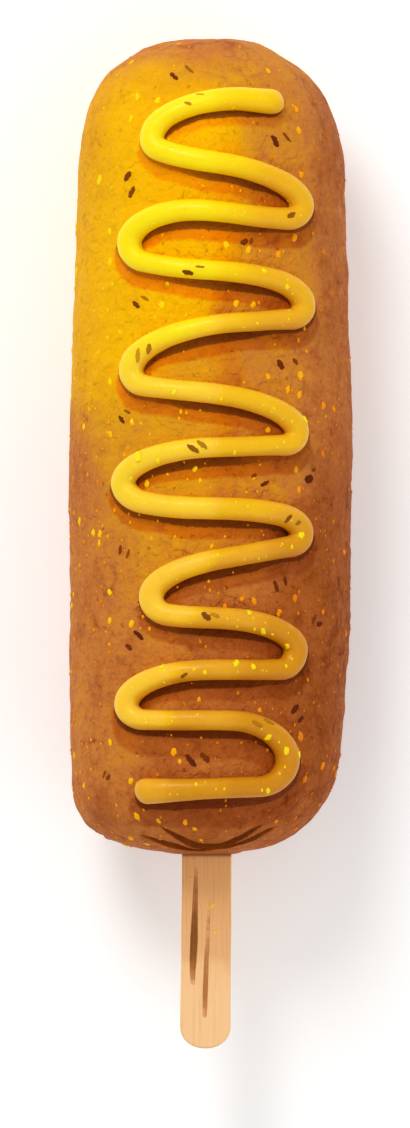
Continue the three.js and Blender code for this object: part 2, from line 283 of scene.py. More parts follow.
# Creases where the batter gathers above the stick, as seen from above: (across, from the tip).
CREASES_SEEN = [
    [(-9.6, 146.7), (-6.4, 148.7), (-4.0, 149.85), (-1.9, 150.45), (0.75, 150.6), (3.9, 150.35), (7.4, 149.3), (9.8, 148.1),
     (12.7, 146.9)],
    [(-13.2, 148.5), (-9.9, 149.7), (-6.4, 150.5), (-3.0, 150.95), (0.5, 150.75), (3.5, 150.0), (5.3, 149.2), (7.4, 147.9),
     (10.1, 146.4)],
]

# Guessed ones round the rest of the end: angle, half its span, place and slant across the end, depth.
CREASES_HIDDEN = [(3.30, 0.42, 0.72, 0.10, 0.60), (3.72, 0.30, 0.55, -0.13, 0.45), (4.35, 0.50, 0.62, 0.12, 0.72),
                  (4.70, 0.24, 0.74, -0.08, 0.45), (5.55, 0.34, 0.80, -0.07, 0.55), (6.20, 0.22, 0.60, 0.10, 0.45)]


def angle_over(x, d):
    """Angle of the crust's upper side over a plan point."""
    a = np.arccos(np.clip(np.asarray(x, float) / 26, -0.97, 0.97))
    for _ in range(14):
        p = base_point(a, d)[..., 0]
        q = base_point(a + 1e-4, d)[..., 0]
        a = np.clip(a - (p - x) / ((q - p) / 1e-4), 0.03, math.pi - 0.03)
    return a


def resample(points, step):
    points = np.asarray(points, float)
    seg = np.linalg.norm(np.diff(points, axis=0), axis=1)
    s = np.r_[0, np.cumsum(seg)]
    n = max(int(s[-1] / step), 2)
    t = np.linspace(0, s[-1], n + 1)
    return np.stack([np.interp(t, s, points[:, k]) for k in range(points.shape[1])], -1)


def smooth_line(points, step):
    """A smooth line through a few points."""
    points = np.asarray(points, float)
    out = []
    ext = np.vstack([2 * points[0] - points[1], points, 2 * points[-1] - points[-2]])
    for i in range(1, len(ext) - 2):
        p0, p1, p2, p3 = ext[i - 1:i + 3]
        t = np.linspace(0, 1, 12, endpoint=False)[:, None]
        out.append(0.5 * ((2 * p1) + (p2 - p0) * t + (2 * p0 - 5 * p1 + 4 * p2 - p3) * t ** 2
                          + (3 * p1 - p0 - 3 * p2 + p3) * t ** 3))
    out.append(points[-1:])
    return resample(np.vstack(out), step)


def crease_lines():
    """Creases as lines in space: points, depth along them and, for a fold, the way down over its lower lip."""
    lines = []
    for c in CREASES_SEEN:
        q = smooth_line(c, 0.12)
        a = angle_over(q[:, 0], q[:, 1])
        p = base_point(a, q[:, 1])
        down = unit(np.cross(base_normal(a, q[:, 1]), unit(np.gradient(p, axis=0))))
        lines.append((p, np.sin(math.pi * np.linspace(0, 1, len(p))) ** 0.45, down * np.sign(down[:, 1:2])))
    # the same gathering goes on round the hidden side and beside the stick
    for mid, span, share, tilt, depth in CREASES_HIDDEN:
        t = np.linspace(-1, 1, 90)
        a = mid + t * span
        e = share + tilt * t + 0.04 * t * t + 0.02 * np.sin(5 * t + 9 * mid)
        d = BODY_LENGTH - rounding_at(np.clip(e, 0.05, 0.95), BUTT)
        lines.append((base_point(a, d), depth * (1 - t * t) ** 0.5, None))
    return lines


def crease_field(points):
    """Height that the creases add at points, and distance to the edge of their dark line (below 0 inside it), mm."""
    groove = np.zeros(len(points))
    raised = np.zeros(len(points))
    edge = np.full(len(points), 2.0)
    near = np.where(points[:, 1] > 138)[0]
    for line, depth, down in CREASE_LINES:
        tree = KDTree(len(line))
        for i, p in enumerate(line):
            tree.insert(p, i)
        tree.balance()
        for i in near:
            _, j, dist = tree.find(points[i])
            if dist > 5:
                continue
            if down is None:
                groove[i] = max(groove[i], 0.55 * depth[j] * math.exp(-(dist / (0.30 + 0.28 * depth[j])) ** 2))
                raised[i] = max(raised[i], 0.15 * depth[j] * math.exp(-((dist - 1.25) / 0.7) ** 2))
                edge[i] = min(edge[i], dist - (0.46 * depth[j] - 0.06))
            else:
                # a fold: the batter below it stands out as a rounded lip that dips in behind
                s = float((points[i] - line[j]) @ down[j])
                past = math.sqrt(max(dist * dist - s * s, 0.0))
                fade = depth[j] * math.exp(-(past / 0.6) ** 2)
                groove[i] = max(groove[i], 0.42 * fade * math.exp(-((s + 0.18) / 0.40) ** 2))
                lip = step((s - 0.30) / 0.16) * math.exp(-(max(s - 0.55, 0.0) / 1.5) ** 2)
                raised[i] = max(raised[i], 0.62 * fade * lip)
                edge[i] = min(edge[i], math.hypot(s - 0.12, past) - (0.60 * depth[j] - 0.06))
    return raised * (1 - groove / 0.45) - groove, edge


CREASE_LINES = crease_lines()


# ------------------------------------------------------------------ mustard bead path, as in the CAD
def quarter_turn(at, side, across, along, way, lean, n):
    stop = math.atan2(along, across * max(lean, 1e-6))
    t = np.linspace(0, stop, n + 1)
    return np.stack([at[0] + side * across * (1 - np.cos(t)), at[1] + way * along * np.sin(t)], -1)


def run_between(p0, p3, side, lean, n):
    dx = abs(p3[0] - p0[0]) * 0.35
    c0 = p0 + np.array([side * dx, dx * lean])
    c1 = p3 - np.array([side * dx, dx * lean])
    t = (np.arange(1, n) / n)[:, None]
    s = 1 - t
    return s ** 3 * p0 + 3 * s * s * t * c0 + 3 * s * t * t * c1 + t ** 3 * p3


def bead_plan():
    first = quarter_turn(TURNS[0][0], 1, FIRST_RUN["across"], FIRST_RUN["along"], -1, 0, 20)[::-1]
    path = [np.array([FIRST_RUN["start"]]), first[first[:, 0] < FIRST_RUN["start"][0] - 4]]
    for (a, out, into, lean), (b, _, _, _) in zip(TURNS[:-1], TURNS[1:]):
        side = np.sign(b[0] - a[0])
        leave = quarter_turn(a, side, out[0], out[1], 1, lean, 16)
        arrive = quarter_turn(b, -side, into[0], into[1], -1, lean, 22)[::-1]
        path += [leave[1:], run_between(leave[-1], arrive[0], side, lean, 24), arrive]
    leave = quarter_turn(TURNS[-1][0], -1, LAST_RUN["across"], LAST_RUN["along"], 1, LAST_RUN["lean"], 16)
    end = np.array(LAST_RUN["end"])
    path += [leave[1:], run_between(leave[-1], end, -1, LAST_RUN["lean"] * 0.3, 24), end[None]]
    return np.vstack(path)


def over(x, d):
    """Plain crust point and outward normal over a plan point."""
    a = angle_over(x, d)
    return base_point(a, d), base_normal(a, d), a


def bead_foot():
    plan = bead_plan()
    p = plan.copy()
    for _ in range(4):
        _, n, _ = over(p[:, 0], p[:, 1])
        p = plan - n[:, :2] * (CLEARANCE + BEAD["height"] / 2)
    return resample(smooth_line(resample(p, 0.8), 0.1), 0.26)


BEAD_FOOT = bead_foot()
BEAD_LINE = resample(smooth_line(resample(bead_plan(), 0.8), 0.1), 0.26)
# how wide the bead is where each run is thinnest, as a share of what it is in the turns
RUN_WIDTH = [0.885, 0.885, 0.89, 0.84, 0.835, 0.855, 0.82, 0.95, 0.88, 0.91, 0.865, 0.84, 0.80]


def turn_places(line):
    """Where along a line the turns are, with its two ends."""
    return [0] + [int(np.argmin(np.hypot(line[:, 0] - t[0][0], line[:, 1] - t[0][1]))) for t in TURNS] + [len(line) - 1]


# how much paler the painted shadow line below the mustard is just after each turn
PALE_AFTER_TURN = [0.75, 0.2, 0.7, 0.0, 0.5, 0.75, 0.2, 0.1, 0.4, 0.2, 0.0, 0.2]


def line_thin():
    """Shares by which the painted shadow line below the mustard thins and pales along BEAD_LINE: just after each turn,
    round the turn's outside.
    """
    at = turn_places(BEAD_LINE)
    thin = np.zeros(len(BEAD_LINE))
    pale = np.zeros(len(BEAD_LINE))
    for k, (lo, hi) in enumerate(zip(at[1:-1], at[2:])):
        t = np.linspace(0, 1, hi - lo + 1)
        thin[lo:hi + 1] = (1.0 if k < 5 else 0.5) * (1 - smooth(t, 0.15, 0.50))
        pale[lo:hi + 1] = PALE_AFTER_TURN[k] * (1 - smooth(t, 0.12, 0.48))
    return thin, pale


LINE_THIN, LINE_PALE = line_thin()


def bead_width():
    """Share of the bead's full width along BEAD_FOOT: full in the turns, thinner in the runs between them."""
    at = turn_places(BEAD_FOOT)
    share = np.ones(len(BEAD_FOOT))
    for k, (lo, hi, thin) in enumerate(zip(at[:-1], at[1:], RUN_WIDTH)):
        t = np.linspace(-1, 1, hi - lo + 1)
        # it is thinnest soon after a turn and swells towards the next; the first run thins late
        t = t - (0.5 if k == 0 else -0.3)
        t = np.where(t > 0, t / t[-1], t / -t[0])
        share[lo:hi + 1] = thin + (1.02 - thin) * np.abs(t) ** np.where(t > 0, 2.2, 3.0)
    return np.convolve(np.pad(share, 8, mode="edge"), np.ones(17) / 17, "valid")


# ------------------------------------------------------------------ mesh helpers
def mesh_object(name, verts, quads, tris=None, smooth_shade=True):
    """A mesh object from arrays: verts (n, 3) in metres, quads (m, 4), tris (k, 3)."""
    quads = np.asarray(quads, np.int32).reshape(-1, 4)
    tris = np.zeros((0, 3), np.int32) if tris is None else np.asarray(tris, np.int32).reshape(-1, 3)
    mesh = bpy.data.meshes.new(name)
    mesh.vertices.add(len(verts))
    mesh.vertices.foreach_set("co", np.asarray(verts, np.float32).ravel())
    loops = np.concatenate([quads.ravel(), tris.ravel()])
    mesh.loops.add(len(loops))
    mesh.loops.foreach_set("vertex_index", loops)
    mesh.polygons.add(len(quads) + len(tris))
    starts = np.concatenate([np.arange(len(quads)) * 4, len(quads) * 4 + np.arange(len(tris)) * 3])
    mesh.polygons.foreach_set("loop_start", starts.astype(np.int32))
    mesh.update(calc_edges=True)
    mesh.validate()
    if smooth_shade:
        mesh.polygons.foreach_set("use_smooth", np.ones(len(mesh.polygons), bool))
    o = bpy.data.objects.new(name, mesh)
    scene.collection.objects.link(o)
    return o


def attribute(o, name, values):
    at = o.data.attributes.new(name, "FLOAT", "POINT")
    at.data.foreach_set("value", np.asarray(values, np.float32))


def tube_quads(rings, around):
    """Quads of a tube of rings, each of `around` points."""
    k = np.arange(rings - 1)[:, None] * around
    i = np.arange(around)[None]
    j = (i + 1) % around
    return np.stack([k + i, k + around + i, k + around + j, k + j], -1).reshape(-1, 4)


def face_out(o):
    """Turns every face outward, by the sign of the volume."""
    me = o.data
    n = len(me.vertices)
    co = np.zeros(n * 3, np.float32)
    me.vertices.foreach_get("co", co)
    co = co.reshape(-1, 3).astype(float)
    me.calc_loop_triangles()
    t = np.zeros(len(me.loop_triangles) * 3, np.int32)
    me.loop_triangles.foreach_get("vertices", t)
    t = t.reshape(-1, 3)
    v = np.einsum("ij,ij->i", co[t[:, 0]], np.cross(co[t[:, 1]], co[t[:, 2]])).sum()
    if v < 0:
        me.flip_normals()


# ------------------------------------------------------------------ tone of the crust
def tone_field(x, d, z):
    """How brown the crust is, 0 golden to 1 dark: golden at the upper left, browner to the right and to the butt. It is
    partly real browning and partly painted shade: the darkening to the right, at both side edges and at the tip, and
    the dark patch below the last mustard run, stand for shade.
    """
    u = x / 26.0
    v = d / BODY_LENGTH
    # the gold ends along a line right of the middle, and the right edge is darker again, as painted shade
    soft = smooth(AXIS_HEIGHT - z, -2, 14)  # the borders blur on the hidden side
    bound = (0.215 - 0.17 * step((v - 0.31) / 0.03) - 0.22 * smooth(v, 0.62, 0.70)
             - 0.42 * smooth(v, 0.80, 0.90) - 0.22 * smooth(v, 0.90, 0.96))
    right = step((u - bound) / (0.10 + 0.12 * soft))
    edge = step((u - 0.73) / (0.07 + 0.12 * soft))
    # along the body: gold, then tan, then brown, which reaches further up at both sides
    tan = step((v - 0.35 - 0.12 * np.clip(-u, -0.1, 0.9)) / (0.032 + 0.05 * soft))
    bound = 0.65 - 0.21 * smooth(-u, 0.55, 1.0) - 0.12 * smooth(u, 0.3, 0.9)
    brown = step((v - bound) / (0.045 + 0.06 * soft))
    t = (0.045 + (0.08 * (1 - 0.6 * brown) + 0.12 * (1 - smooth(v, 0.10, 0.30))) * np.exp(-((u + 1) / 0.26) ** 2)
         + 0.62 * np.exp(-(v / 0.05) ** 2) * (1 - right) * (1 - 0.35 * soft)
         + (0.08 * edge * (1 - smooth(v, 0.08, 0.35)) + 0.04 * (1 - smooth(v, 0.02, 0.10))) * right
         + right * (0.40 + 0.14 * np.clip(u - 0.2, 0, 0.6))
         + tan * (0.27 - 0.25 * right)
         + brown * (0.28 - 0.04 * right)
         + edge * (0.15 - 0.12 * brown)
         + 0.09 * step((u - 0.42) / 0.12) * brown
         - 0.05 * step((v - 0.80) / 0.03) * (1 - step((u - 0.05) / 0.10)) * step((u + 0.70) / 0.08)
         + 0.05 * step((v - 0.90) / 0.03) * (1 - step((u + 0.70) / 0.08))
         + 0.13 * np.exp(-((u + 0.05) / 0.30) ** 2) * smooth(v, 0.86, 0.92))
    # a little darker on the hidden lower half, towards the floor
    return t + 0.08 * smooth(AXIS_HEIGHT - z, 0, 22)


# ------------------------------------------------------------------ crust
def build_crust():
    around = 312
    end_rings, mid_rings = 40, 185
    # more points on the upper half, which shows most
    base = np.linspace(0, 2 * math.pi, around, endpoint=False)
    angles = base + 0.16 * np.cos(base)  # gathers them near a quarter turn
    shares_tip = np.sin((np.arange(1, end_rings + 1) / (end_rings + 1)) * math.pi / 2)
    ds = list(rounding_at(shares_tip, TIP))
    ds += list(np.linspace(TIP[0], BODY_LENGTH - BUTT[0], mid_rings))
    # closer together where the creases are; inside the last one the crust turns in to the stick
    edges = [math.asin(share) for share in (1.0, 0.85, 0.43, 0.30)]
    th = np.concatenate([np.linspace(lo, hi, n + 1)[1:] for lo, hi, n in zip(edges[:-1], edges[1:], (12, 49, 5))])
    ds += list(BODY_LENGTH - rounding_at(np.sin(th), BUTT))
    ds = np.array(ds)
    a, d = np.meshgrid(angles, ds)
    plain = base_point(a, d)
    n = base_normal(a, d)
    shape = plain.shape[:2]
    flat = plain.reshape(-1, 3)
    rel = relief(flat)
    spots = add_spots(flat, BLISTERS)
    pits = add_spots(flat, PITS)
    folds, crease_edge = crease_field(flat)
    calm = 1 - 0.6 * smooth(flat[:, 1], BODY_LENGTH - 3, BODY_LENGTH)
    height = (rel + spots + pits) * calm + folds
    p = flat + n.reshape(-1, 3) * height[:, None]
    rows = [p.reshape(*shape, 3)]

    # the crust draws in to the stick, hugs it and goes on as its pocket
    outer = rows[0][-1]
    half_w, half_t = STICK["width"] / 2 + 0.02, STICK["thickness"] / 2 + 0.02

    def slot(margin, depth):
        # rounded rectangle in the same directions from the middle as the ring's angles
        c, s = np.cos(angles), np.sin(angles)
        w, t = half_w + margin, half_t + margin
        k = 5.0
        rad = 1 / ((np.abs(c) / w) ** k + (np.abs(s) / t) ** k) ** (1 / k)
        return np.stack([STICK["centre"] + rad * c, np.full(around, depth), AXIS_HEIGHT + rad * s], -1)

    rim = slot(0.0, BODY_LENGTH + 0.35)
    steps = 9
    for k in range(1, steps + 1):
        q = k / steps
        ring = outer * (1 - q) + rim * q
        # a low lip of batter that has run up the stick
        ring[:, 1] = outer[:, 1] * (1 - q) + (BODY_LENGTH + 0.35) * q + 0.12 * math.sin(math.pi * q)
        ring[:, 1] += 0.10 * N3(ring, 2.6) * (1 - q)
        rows.append(ring[None])
    for margin, depth in ((0.0, -0.8), (0.02, -2.5), (0.28, -4.0), (0.28, -77.6)):
        rows.append(slot(margin, BODY_LENGTH + depth)[None])
    grid = np.vstack(rows)
    added = len(grid) - shape[0]
    tone_grid = grid.reshape(-1, 3).copy()
    grid[..., 2] = np.maximum(grid[..., 2], 0.0)
    verts = grid.reshape(-1, 3)
    rings = len(grid)
    tip = base_point(np.array([0.0]), np.array([0.0]))[0]
    tip[0] = verts[:around, 0].mean()
    tip[1] = verts[:around, 1].mean() - 0.02
    tip[2] = verts[:around, 2].mean()
    deep = verts[-around:].mean(0)
    verts = np.vstack([verts, tip, deep])
    quads = tube_quads(rings, around)
    i = np.arange(around)
    j = (i + 1) % around
    t0 = np.stack([np.full(around, rings * around), i, j], -1)
    t1 = np.stack([np.full(around, rings * around + 1), (rings - 1) * around + j, (rings - 1) * around + i], -1)
    o = mesh_object("crust", put(verts), quads, np.vstack([t0, t1]))
    face_out(o)

    pad = np.zeros(added * around + 2)
    def full(v):
        return np.r_[v, pad]
    pit_all, high_all = full(np.clip(-pits, 0, 1)), full(rel + spots)
    q = np.vstack([tone_grid, tip, deep])
    # the browning's edges wander
    below = smooth(AXIS_HEIGHT - q[:, 2], -2, 14)
    wx = q[:, 0] + 1.3 * N5(q, 13.0) + 0.6 * N2(q, 4.5)
    wd = q[:, 1] + 2.6 * N6(q, 12.0) + 1.2 * N1(q, 4.0) + below * (9.0 * N5(q, 31.0) + 4.0 * N3(q, 14.0))
    tone = tone_field(wx, wd, q[:, 2])
    # the gold turns orange along its right border
    u, v = wx / 26.0, wd / BODY_LENGTH
    border = (step((u - 0.02) / 0.03) * (1 - step((u - 0.21) / 0.04)) * step((v - 0.13) / 0.03)
              * (1 - step((v - 0.54) / 0.03)) * (q[:, 2] > AXIS_HEIGHT))
    patchy = 0.5 + 0.5 * smooth(tone, 0.08, 0.40)
    tone = tone + patchy * (0.035 * N5(q, 17.0) + 0.045 * N2(q, 6.0) + 0.03 * N3(q, 2.7)
                            + 0.14 * np.clip(high_all, -0.5, 0.5))
    # distances in plan to the edges of the painted shadow line just below the mustard and of the wider painted shadow
    # band below that, mm
    tree = KDTree(len(BEAD_LINE))
    for k, p2 in enumerate(BEAD_LINE):
        tree.insert((p2[0], p2[1], 0), k)
    tree.balance()
    shadow_line = np.full(len(q), 9.0)
    shadow_band = np.full(len(q), 9.0)
    wander = N4(q, 7.0) + 0.6 * N3(q, 2.4)
    left_end = step((-5.5 - q[:, 0]) / 1.6)
    centre = step((q[:, 0] + 7.0) / 2.0) * (1 - step((q[:, 0] - 10.0) / 2.0))
    early = 1 - step((q[:, 1] - 20.0) / 1.5)
    late = step((q[:, 1] - 130.0) / 1.5)
    right_end = step((q[:, 0] - 8.0) / 2.0)
    pale = np.zeros(len(q))
    for k in np.where(q[:, 2] > AXIS_HEIGHT + 5)[0]:
        # round the outside of a turn it is thin, and thickest inside the turns at the left
        near = tree.find((q[k, 0], q[k, 1] - 1.0, 0))[1]
        thin = 0.0
        if q[k, 1] > BEAD_LINE[near, 1]:
            thin, pale[k] = LINE_THIN[near], LINE_PALE[near]
        down = (1.06 + 0.2 * wander[k] - 0.5 * thin + 0.27 * centre[k] + 0.25 * left_end[k] * (thin == 0)
                - 0.14 * right_end[k])
        shadow_line[k] = tree.find((q[k, 0], q[k, 1] - down, 0))[2] - 2.2
        down = 3.1 + 0.4 * wander[k] - 0.5 * left_end[k] + 0.8 * late[k] - 0.3 * early[k]
        shadow_band[k] = tree.find((q[k, 0], q[k, 1] - down, 0))[2] - (2.5 + 0.8 * late[k] - 0.2 * early[k])
    # hidden inside and the last of the lip, which the material paints dark as shade in the pocket round the stick
    inside = np.zeros(len(q))
    inside[(rings - 4) * around:] = 1
    inside[rings * around] = 0  # the middle of the tip
    attribute(o, "tone", tone)
    attribute(o, "border", border)
    # the painted shadow line, and the painted shadow band near the tip, aren't as deep everywhere
    attribute(o, "pale", pale)
    attribute(o, "faint", 0.32 * (1 - step((q[:, 1] - 29.0) / 2.5)))
    attribute(o, "crease", np.r_[crease_edge, pad + 2.0])
    attribute(o, "pit", np.clip(pit_all / 0.25, 0, 1))
    attribute(o, "shadow_line", np.clip(shadow_line, -3, 3))
    attribute(o, "shadow_band", np.clip(shadow_band, -3, 3))
    attribute(o, "inside", inside)
    return o


# ------------------------------------------------------------------ mustard
def build_mustard():
    foot = BEAD_FOOT
    n_st = len(foot)
    t = unit(np.gradient(foot, axis=0))
    s = np.r_[0, np.cumsum(np.linalg.norm(np.diff(foot, axis=0), axis=1))]
    # a squeezed bead swells and thins a little, and is widest where it turns
    line3 = np.stack([foot[:, 0], foot[:, 1], 0 * s], -1)
    share = bead_width()
    wide = share + 0.02 * N1(line3, 9.0) + 0.015 * N2(line3, 3.5)
    tall = 0.4 + 0.6 * share + 0.03 * N4(line3, 8.0) + 0.018 * N3(line3, 3.0)
    # round caps
    caps = 14
    q = np.sin(np.arange(1, caps) / caps * math.pi / 2)
    w_cap = np.cos(np.arange(1, caps) / caps * math.pi / 2) ** 0.85
    start = foot[0] - t[0] * (q[::-1, None] * BEAD["half"] * 1.05)
    end = foot[-1] + t[-1] * (q[:, None] * BEAD["half"] * 1.05)
    p = np.vstack([start, foot, end])
    tt = np.vstack([np.repeat(t[:1], caps - 1, 0), t, np.repeat(t[-1:], caps - 1, 0)])
    w = np.r_[w_cap[::-1], wide, w_cap]
    h = np.r_[w_cap[::-1] ** 0.9, tall, w_cap ** 0.9]
    m = len(p)
    # section: foot, flank, crown
    lower = [(-1.15, -0.75), (0.0, -0.75), (1.15, -0.75), (1.72, -0.42), (1.98, 0.0), (2.10, 0.42), (2.17, 0.85)]
    arc = [(BEAD["half"] * math.cos(k / 18 * math.pi),
            BEAD["belly"] + (BEAD["height"] - BEAD["belly"]) * math.sin(k / 18 * math.pi) ** 0.96) for k in range(19)]
    prof = np.array(lower + arc + [(-x, z) for x, z in lower[:2:-1]])
    k_n = len(prof)
    _, n0, _ = over(p[:, 0], p[:, 1])
    side2 = np.stack([-tt[:, 1], tt[:, 0]], -1)
    side = np.stack([side2[:, 0], side2[:, 1], np.zeros(m)], -1)
    side = unit(side - n0 * (side * n0).sum(-1, keepdims=True))
    u = prof[None, :, 0] * w[:, None]
    v = np.where(prof[None, :, 1] > 0, prof[None, :, 1] * h[:, None], prof[None, :, 1] * np.minimum(w, 1)[:, None])
    xy = p[:, None, :] + side[:, None, :2] * u[..., None]
    base, nn, _ = over(xy[..., 0].ravel(), xy[..., 1].ravel())
    base, nn = base.reshape(m, k_n, 3), nn.reshape(m, k_n, 3)
    pts = base + nn * (0.2 + v)[..., None]
    flat = pts.reshape(-1, 3)
    fnorm = nn.reshape(-1, 3)
    above = np.clip(np.broadcast_to(prof[None, :, 1], (m, k_n)).ravel() / 1.2, 0, 1)
    # soft ripples of the squeeze, across the bead
    ripple = 0.07 * N6(flat, 2.8) + 0.035 * N5(flat, 1.4)
    # fine ridges left by the nozzle, along the bead
    line = np.repeat(np.arange(m) * 0.26, k_n)
    about = np.broadcast_to(np.arange(k_n)[None] * 1.0, (m, k_n)).ravel()
    ripple = ripple + 0.022 * N4(np.stack([about, line * 0.11, 0 * line], -1), 1.6)
    flat = flat + fnorm * (ripple * above)[:, None]
    start_tip = flat[:k_n].mean(0)
    end_tip = flat[-k_n:].mean(0)
    start_tip[:2] -= t[0] * 0.08
    end_tip[:2] += t[-1] * 0.08
    verts = np.vstack([flat, start_tip, end_tip])
    quads = tube_quads(m, k_n)
    i = np.arange(k_n)
    j = (i + 1) % k_n
    t0 = np.stack([np.full(k_n, m * k_n), i, j], -1)
    t1 = np.stack([np.full(k_n, m * k_n + 1), (m - 1) * k_n + j, (m - 1) * k_n + i], -1)
    o = mesh_object("mustard_bead", put(verts), quads, np.vstack([t0, t1]))
    face_out(o)
    x, d = verts[:, 0], verts[:, 1]
    tone = mustard_tone(x, d)
    # painted shade: the side that faces the butt, away from the light, is a little deeper in colour
    lowside = np.zeros(len(verts))
    lowside[:-2] = np.clip((np.repeat(side[:, 1], k_n) * np.tile(prof[:, 0], m)) / BEAD["half"], -1, 1)
    # painted shade, deeper still below the bends at the left, most towards the butt
    tone = tone + ((0.10 + 0.16 * step((d - 97.0) / 3.0)) * smooth(lowside + 0.08 * N6(verts, 5.0), 0.30, 0.70)
                   * (1 - step((x + 4.0 + N5(verts, 4.0)) / 2.5)) * (1 - step((d - 134.0) / 2.0)))
    attribute(o, "tone", tone + 0.03 * N2(verts, 9.0))
    attribute(o, "butt_side", butt_side(x, d))
    attribute(o, "low", lowside)
    # near the crust, most on the side that faces the butt, where shade falls
    rim = np.zeros(len(verts))
    rim[:-2] = 1 - np.clip(np.tile(prof[:, 1], m) / 1.25, 0, 1)
    attribute(o, "rim", rim * (0.45 + 0.55 * smooth(lowside, 0.0, 0.7)))
    return o


def butt_side(x, d):
    """Where the mustard turns to a deeper, warmer yellow towards the butt: painted shade, like the rest of its tone."""
    return step((d - 57.4 + 4.0 * smooth(x, -6, 0)) / 3.4)


def mustard_tone(x, d):
    """How deep the mustard's yellow is, 0 to 1: deeper to the right and to the butt. All of it is painted shade; the
    mustard itself is one colour.
    """
    base = 0.16 * butt_side(x, d) + 0.03 * step((d - 82) / 5) + 0.10 * step((d - 95.5) / 2.6) + 0.32 * step((d - 135.0) / 1.6)
    first = step((x - 1.2 + 9.0 * smooth(d, 90, 127)) / 1.5) * (0.22 + 0.08 * step((d - 46) / 4) + 0.04 * step((d - 94) / 4)
                                                                - 0.12 * step((d - 135.0) / 1.6))
    second = (0.33 - 0.06 * step((d - 46) / 4)) * step((x - 12.5 + 5.5 * smooth(d, 14, 30)) / 3.0) * (1 - step((d - 60) / 4))
    third = (0.06 * step((d - 60) / 4) + 0.22 * step((d - 89) / 3)) * step((x - 11.0 + 6.0 * smooth(d, 105, 122)) / 2.2)
    return np.minimum(base + first + second + third, 0.94)


# ------------------------------------------------------------------ stick
STREAKS = [  # two dark splits in the wood: (across, below the crust), half width and darkness along each
    ([(-2.6, 2.9), (-2.7, 6.0), (-2.8, 10.0), (-3.0, 17.0), (-3.25, 22.0), (-3.2, 24.3)], [0.28, 0.50, 0.60, 0.76, 0.74, 0.45],
     [0.05, 0.28, 0.42, 0.46, 0.72, 0.92, 1.0, 1.0, 0.82, 0.45, 0.10]),
    ([(-0.25, 11.0), (-0.45, 16.0), (-0.7, 21.0), (-0.9, 26.5), (-0.98, 30.4)], [0.30, 0.40, 0.50, 0.56, 0.46],
     [0.02, 0.08, 0.10, 0.14, 0.34, 0.38, 0.40, 0.46, 0.50, 0.32, 0.06]),
]


def stick_half(v):
    q = np.clip(v / (STICK["shown"] - STICK["end_round"]), 0, 1)
    return (STICK["width"] + (STICK["end_width"] - STICK["width"]) * q ** 1.6) / 2


def stick_centre(v):
    q = np.clip(v / (STICK["shown"] - STICK["end_round"]), 0, 1)
    return STICK["centre"] + (STICK["end_centre"] - STICK["centre"]) * q


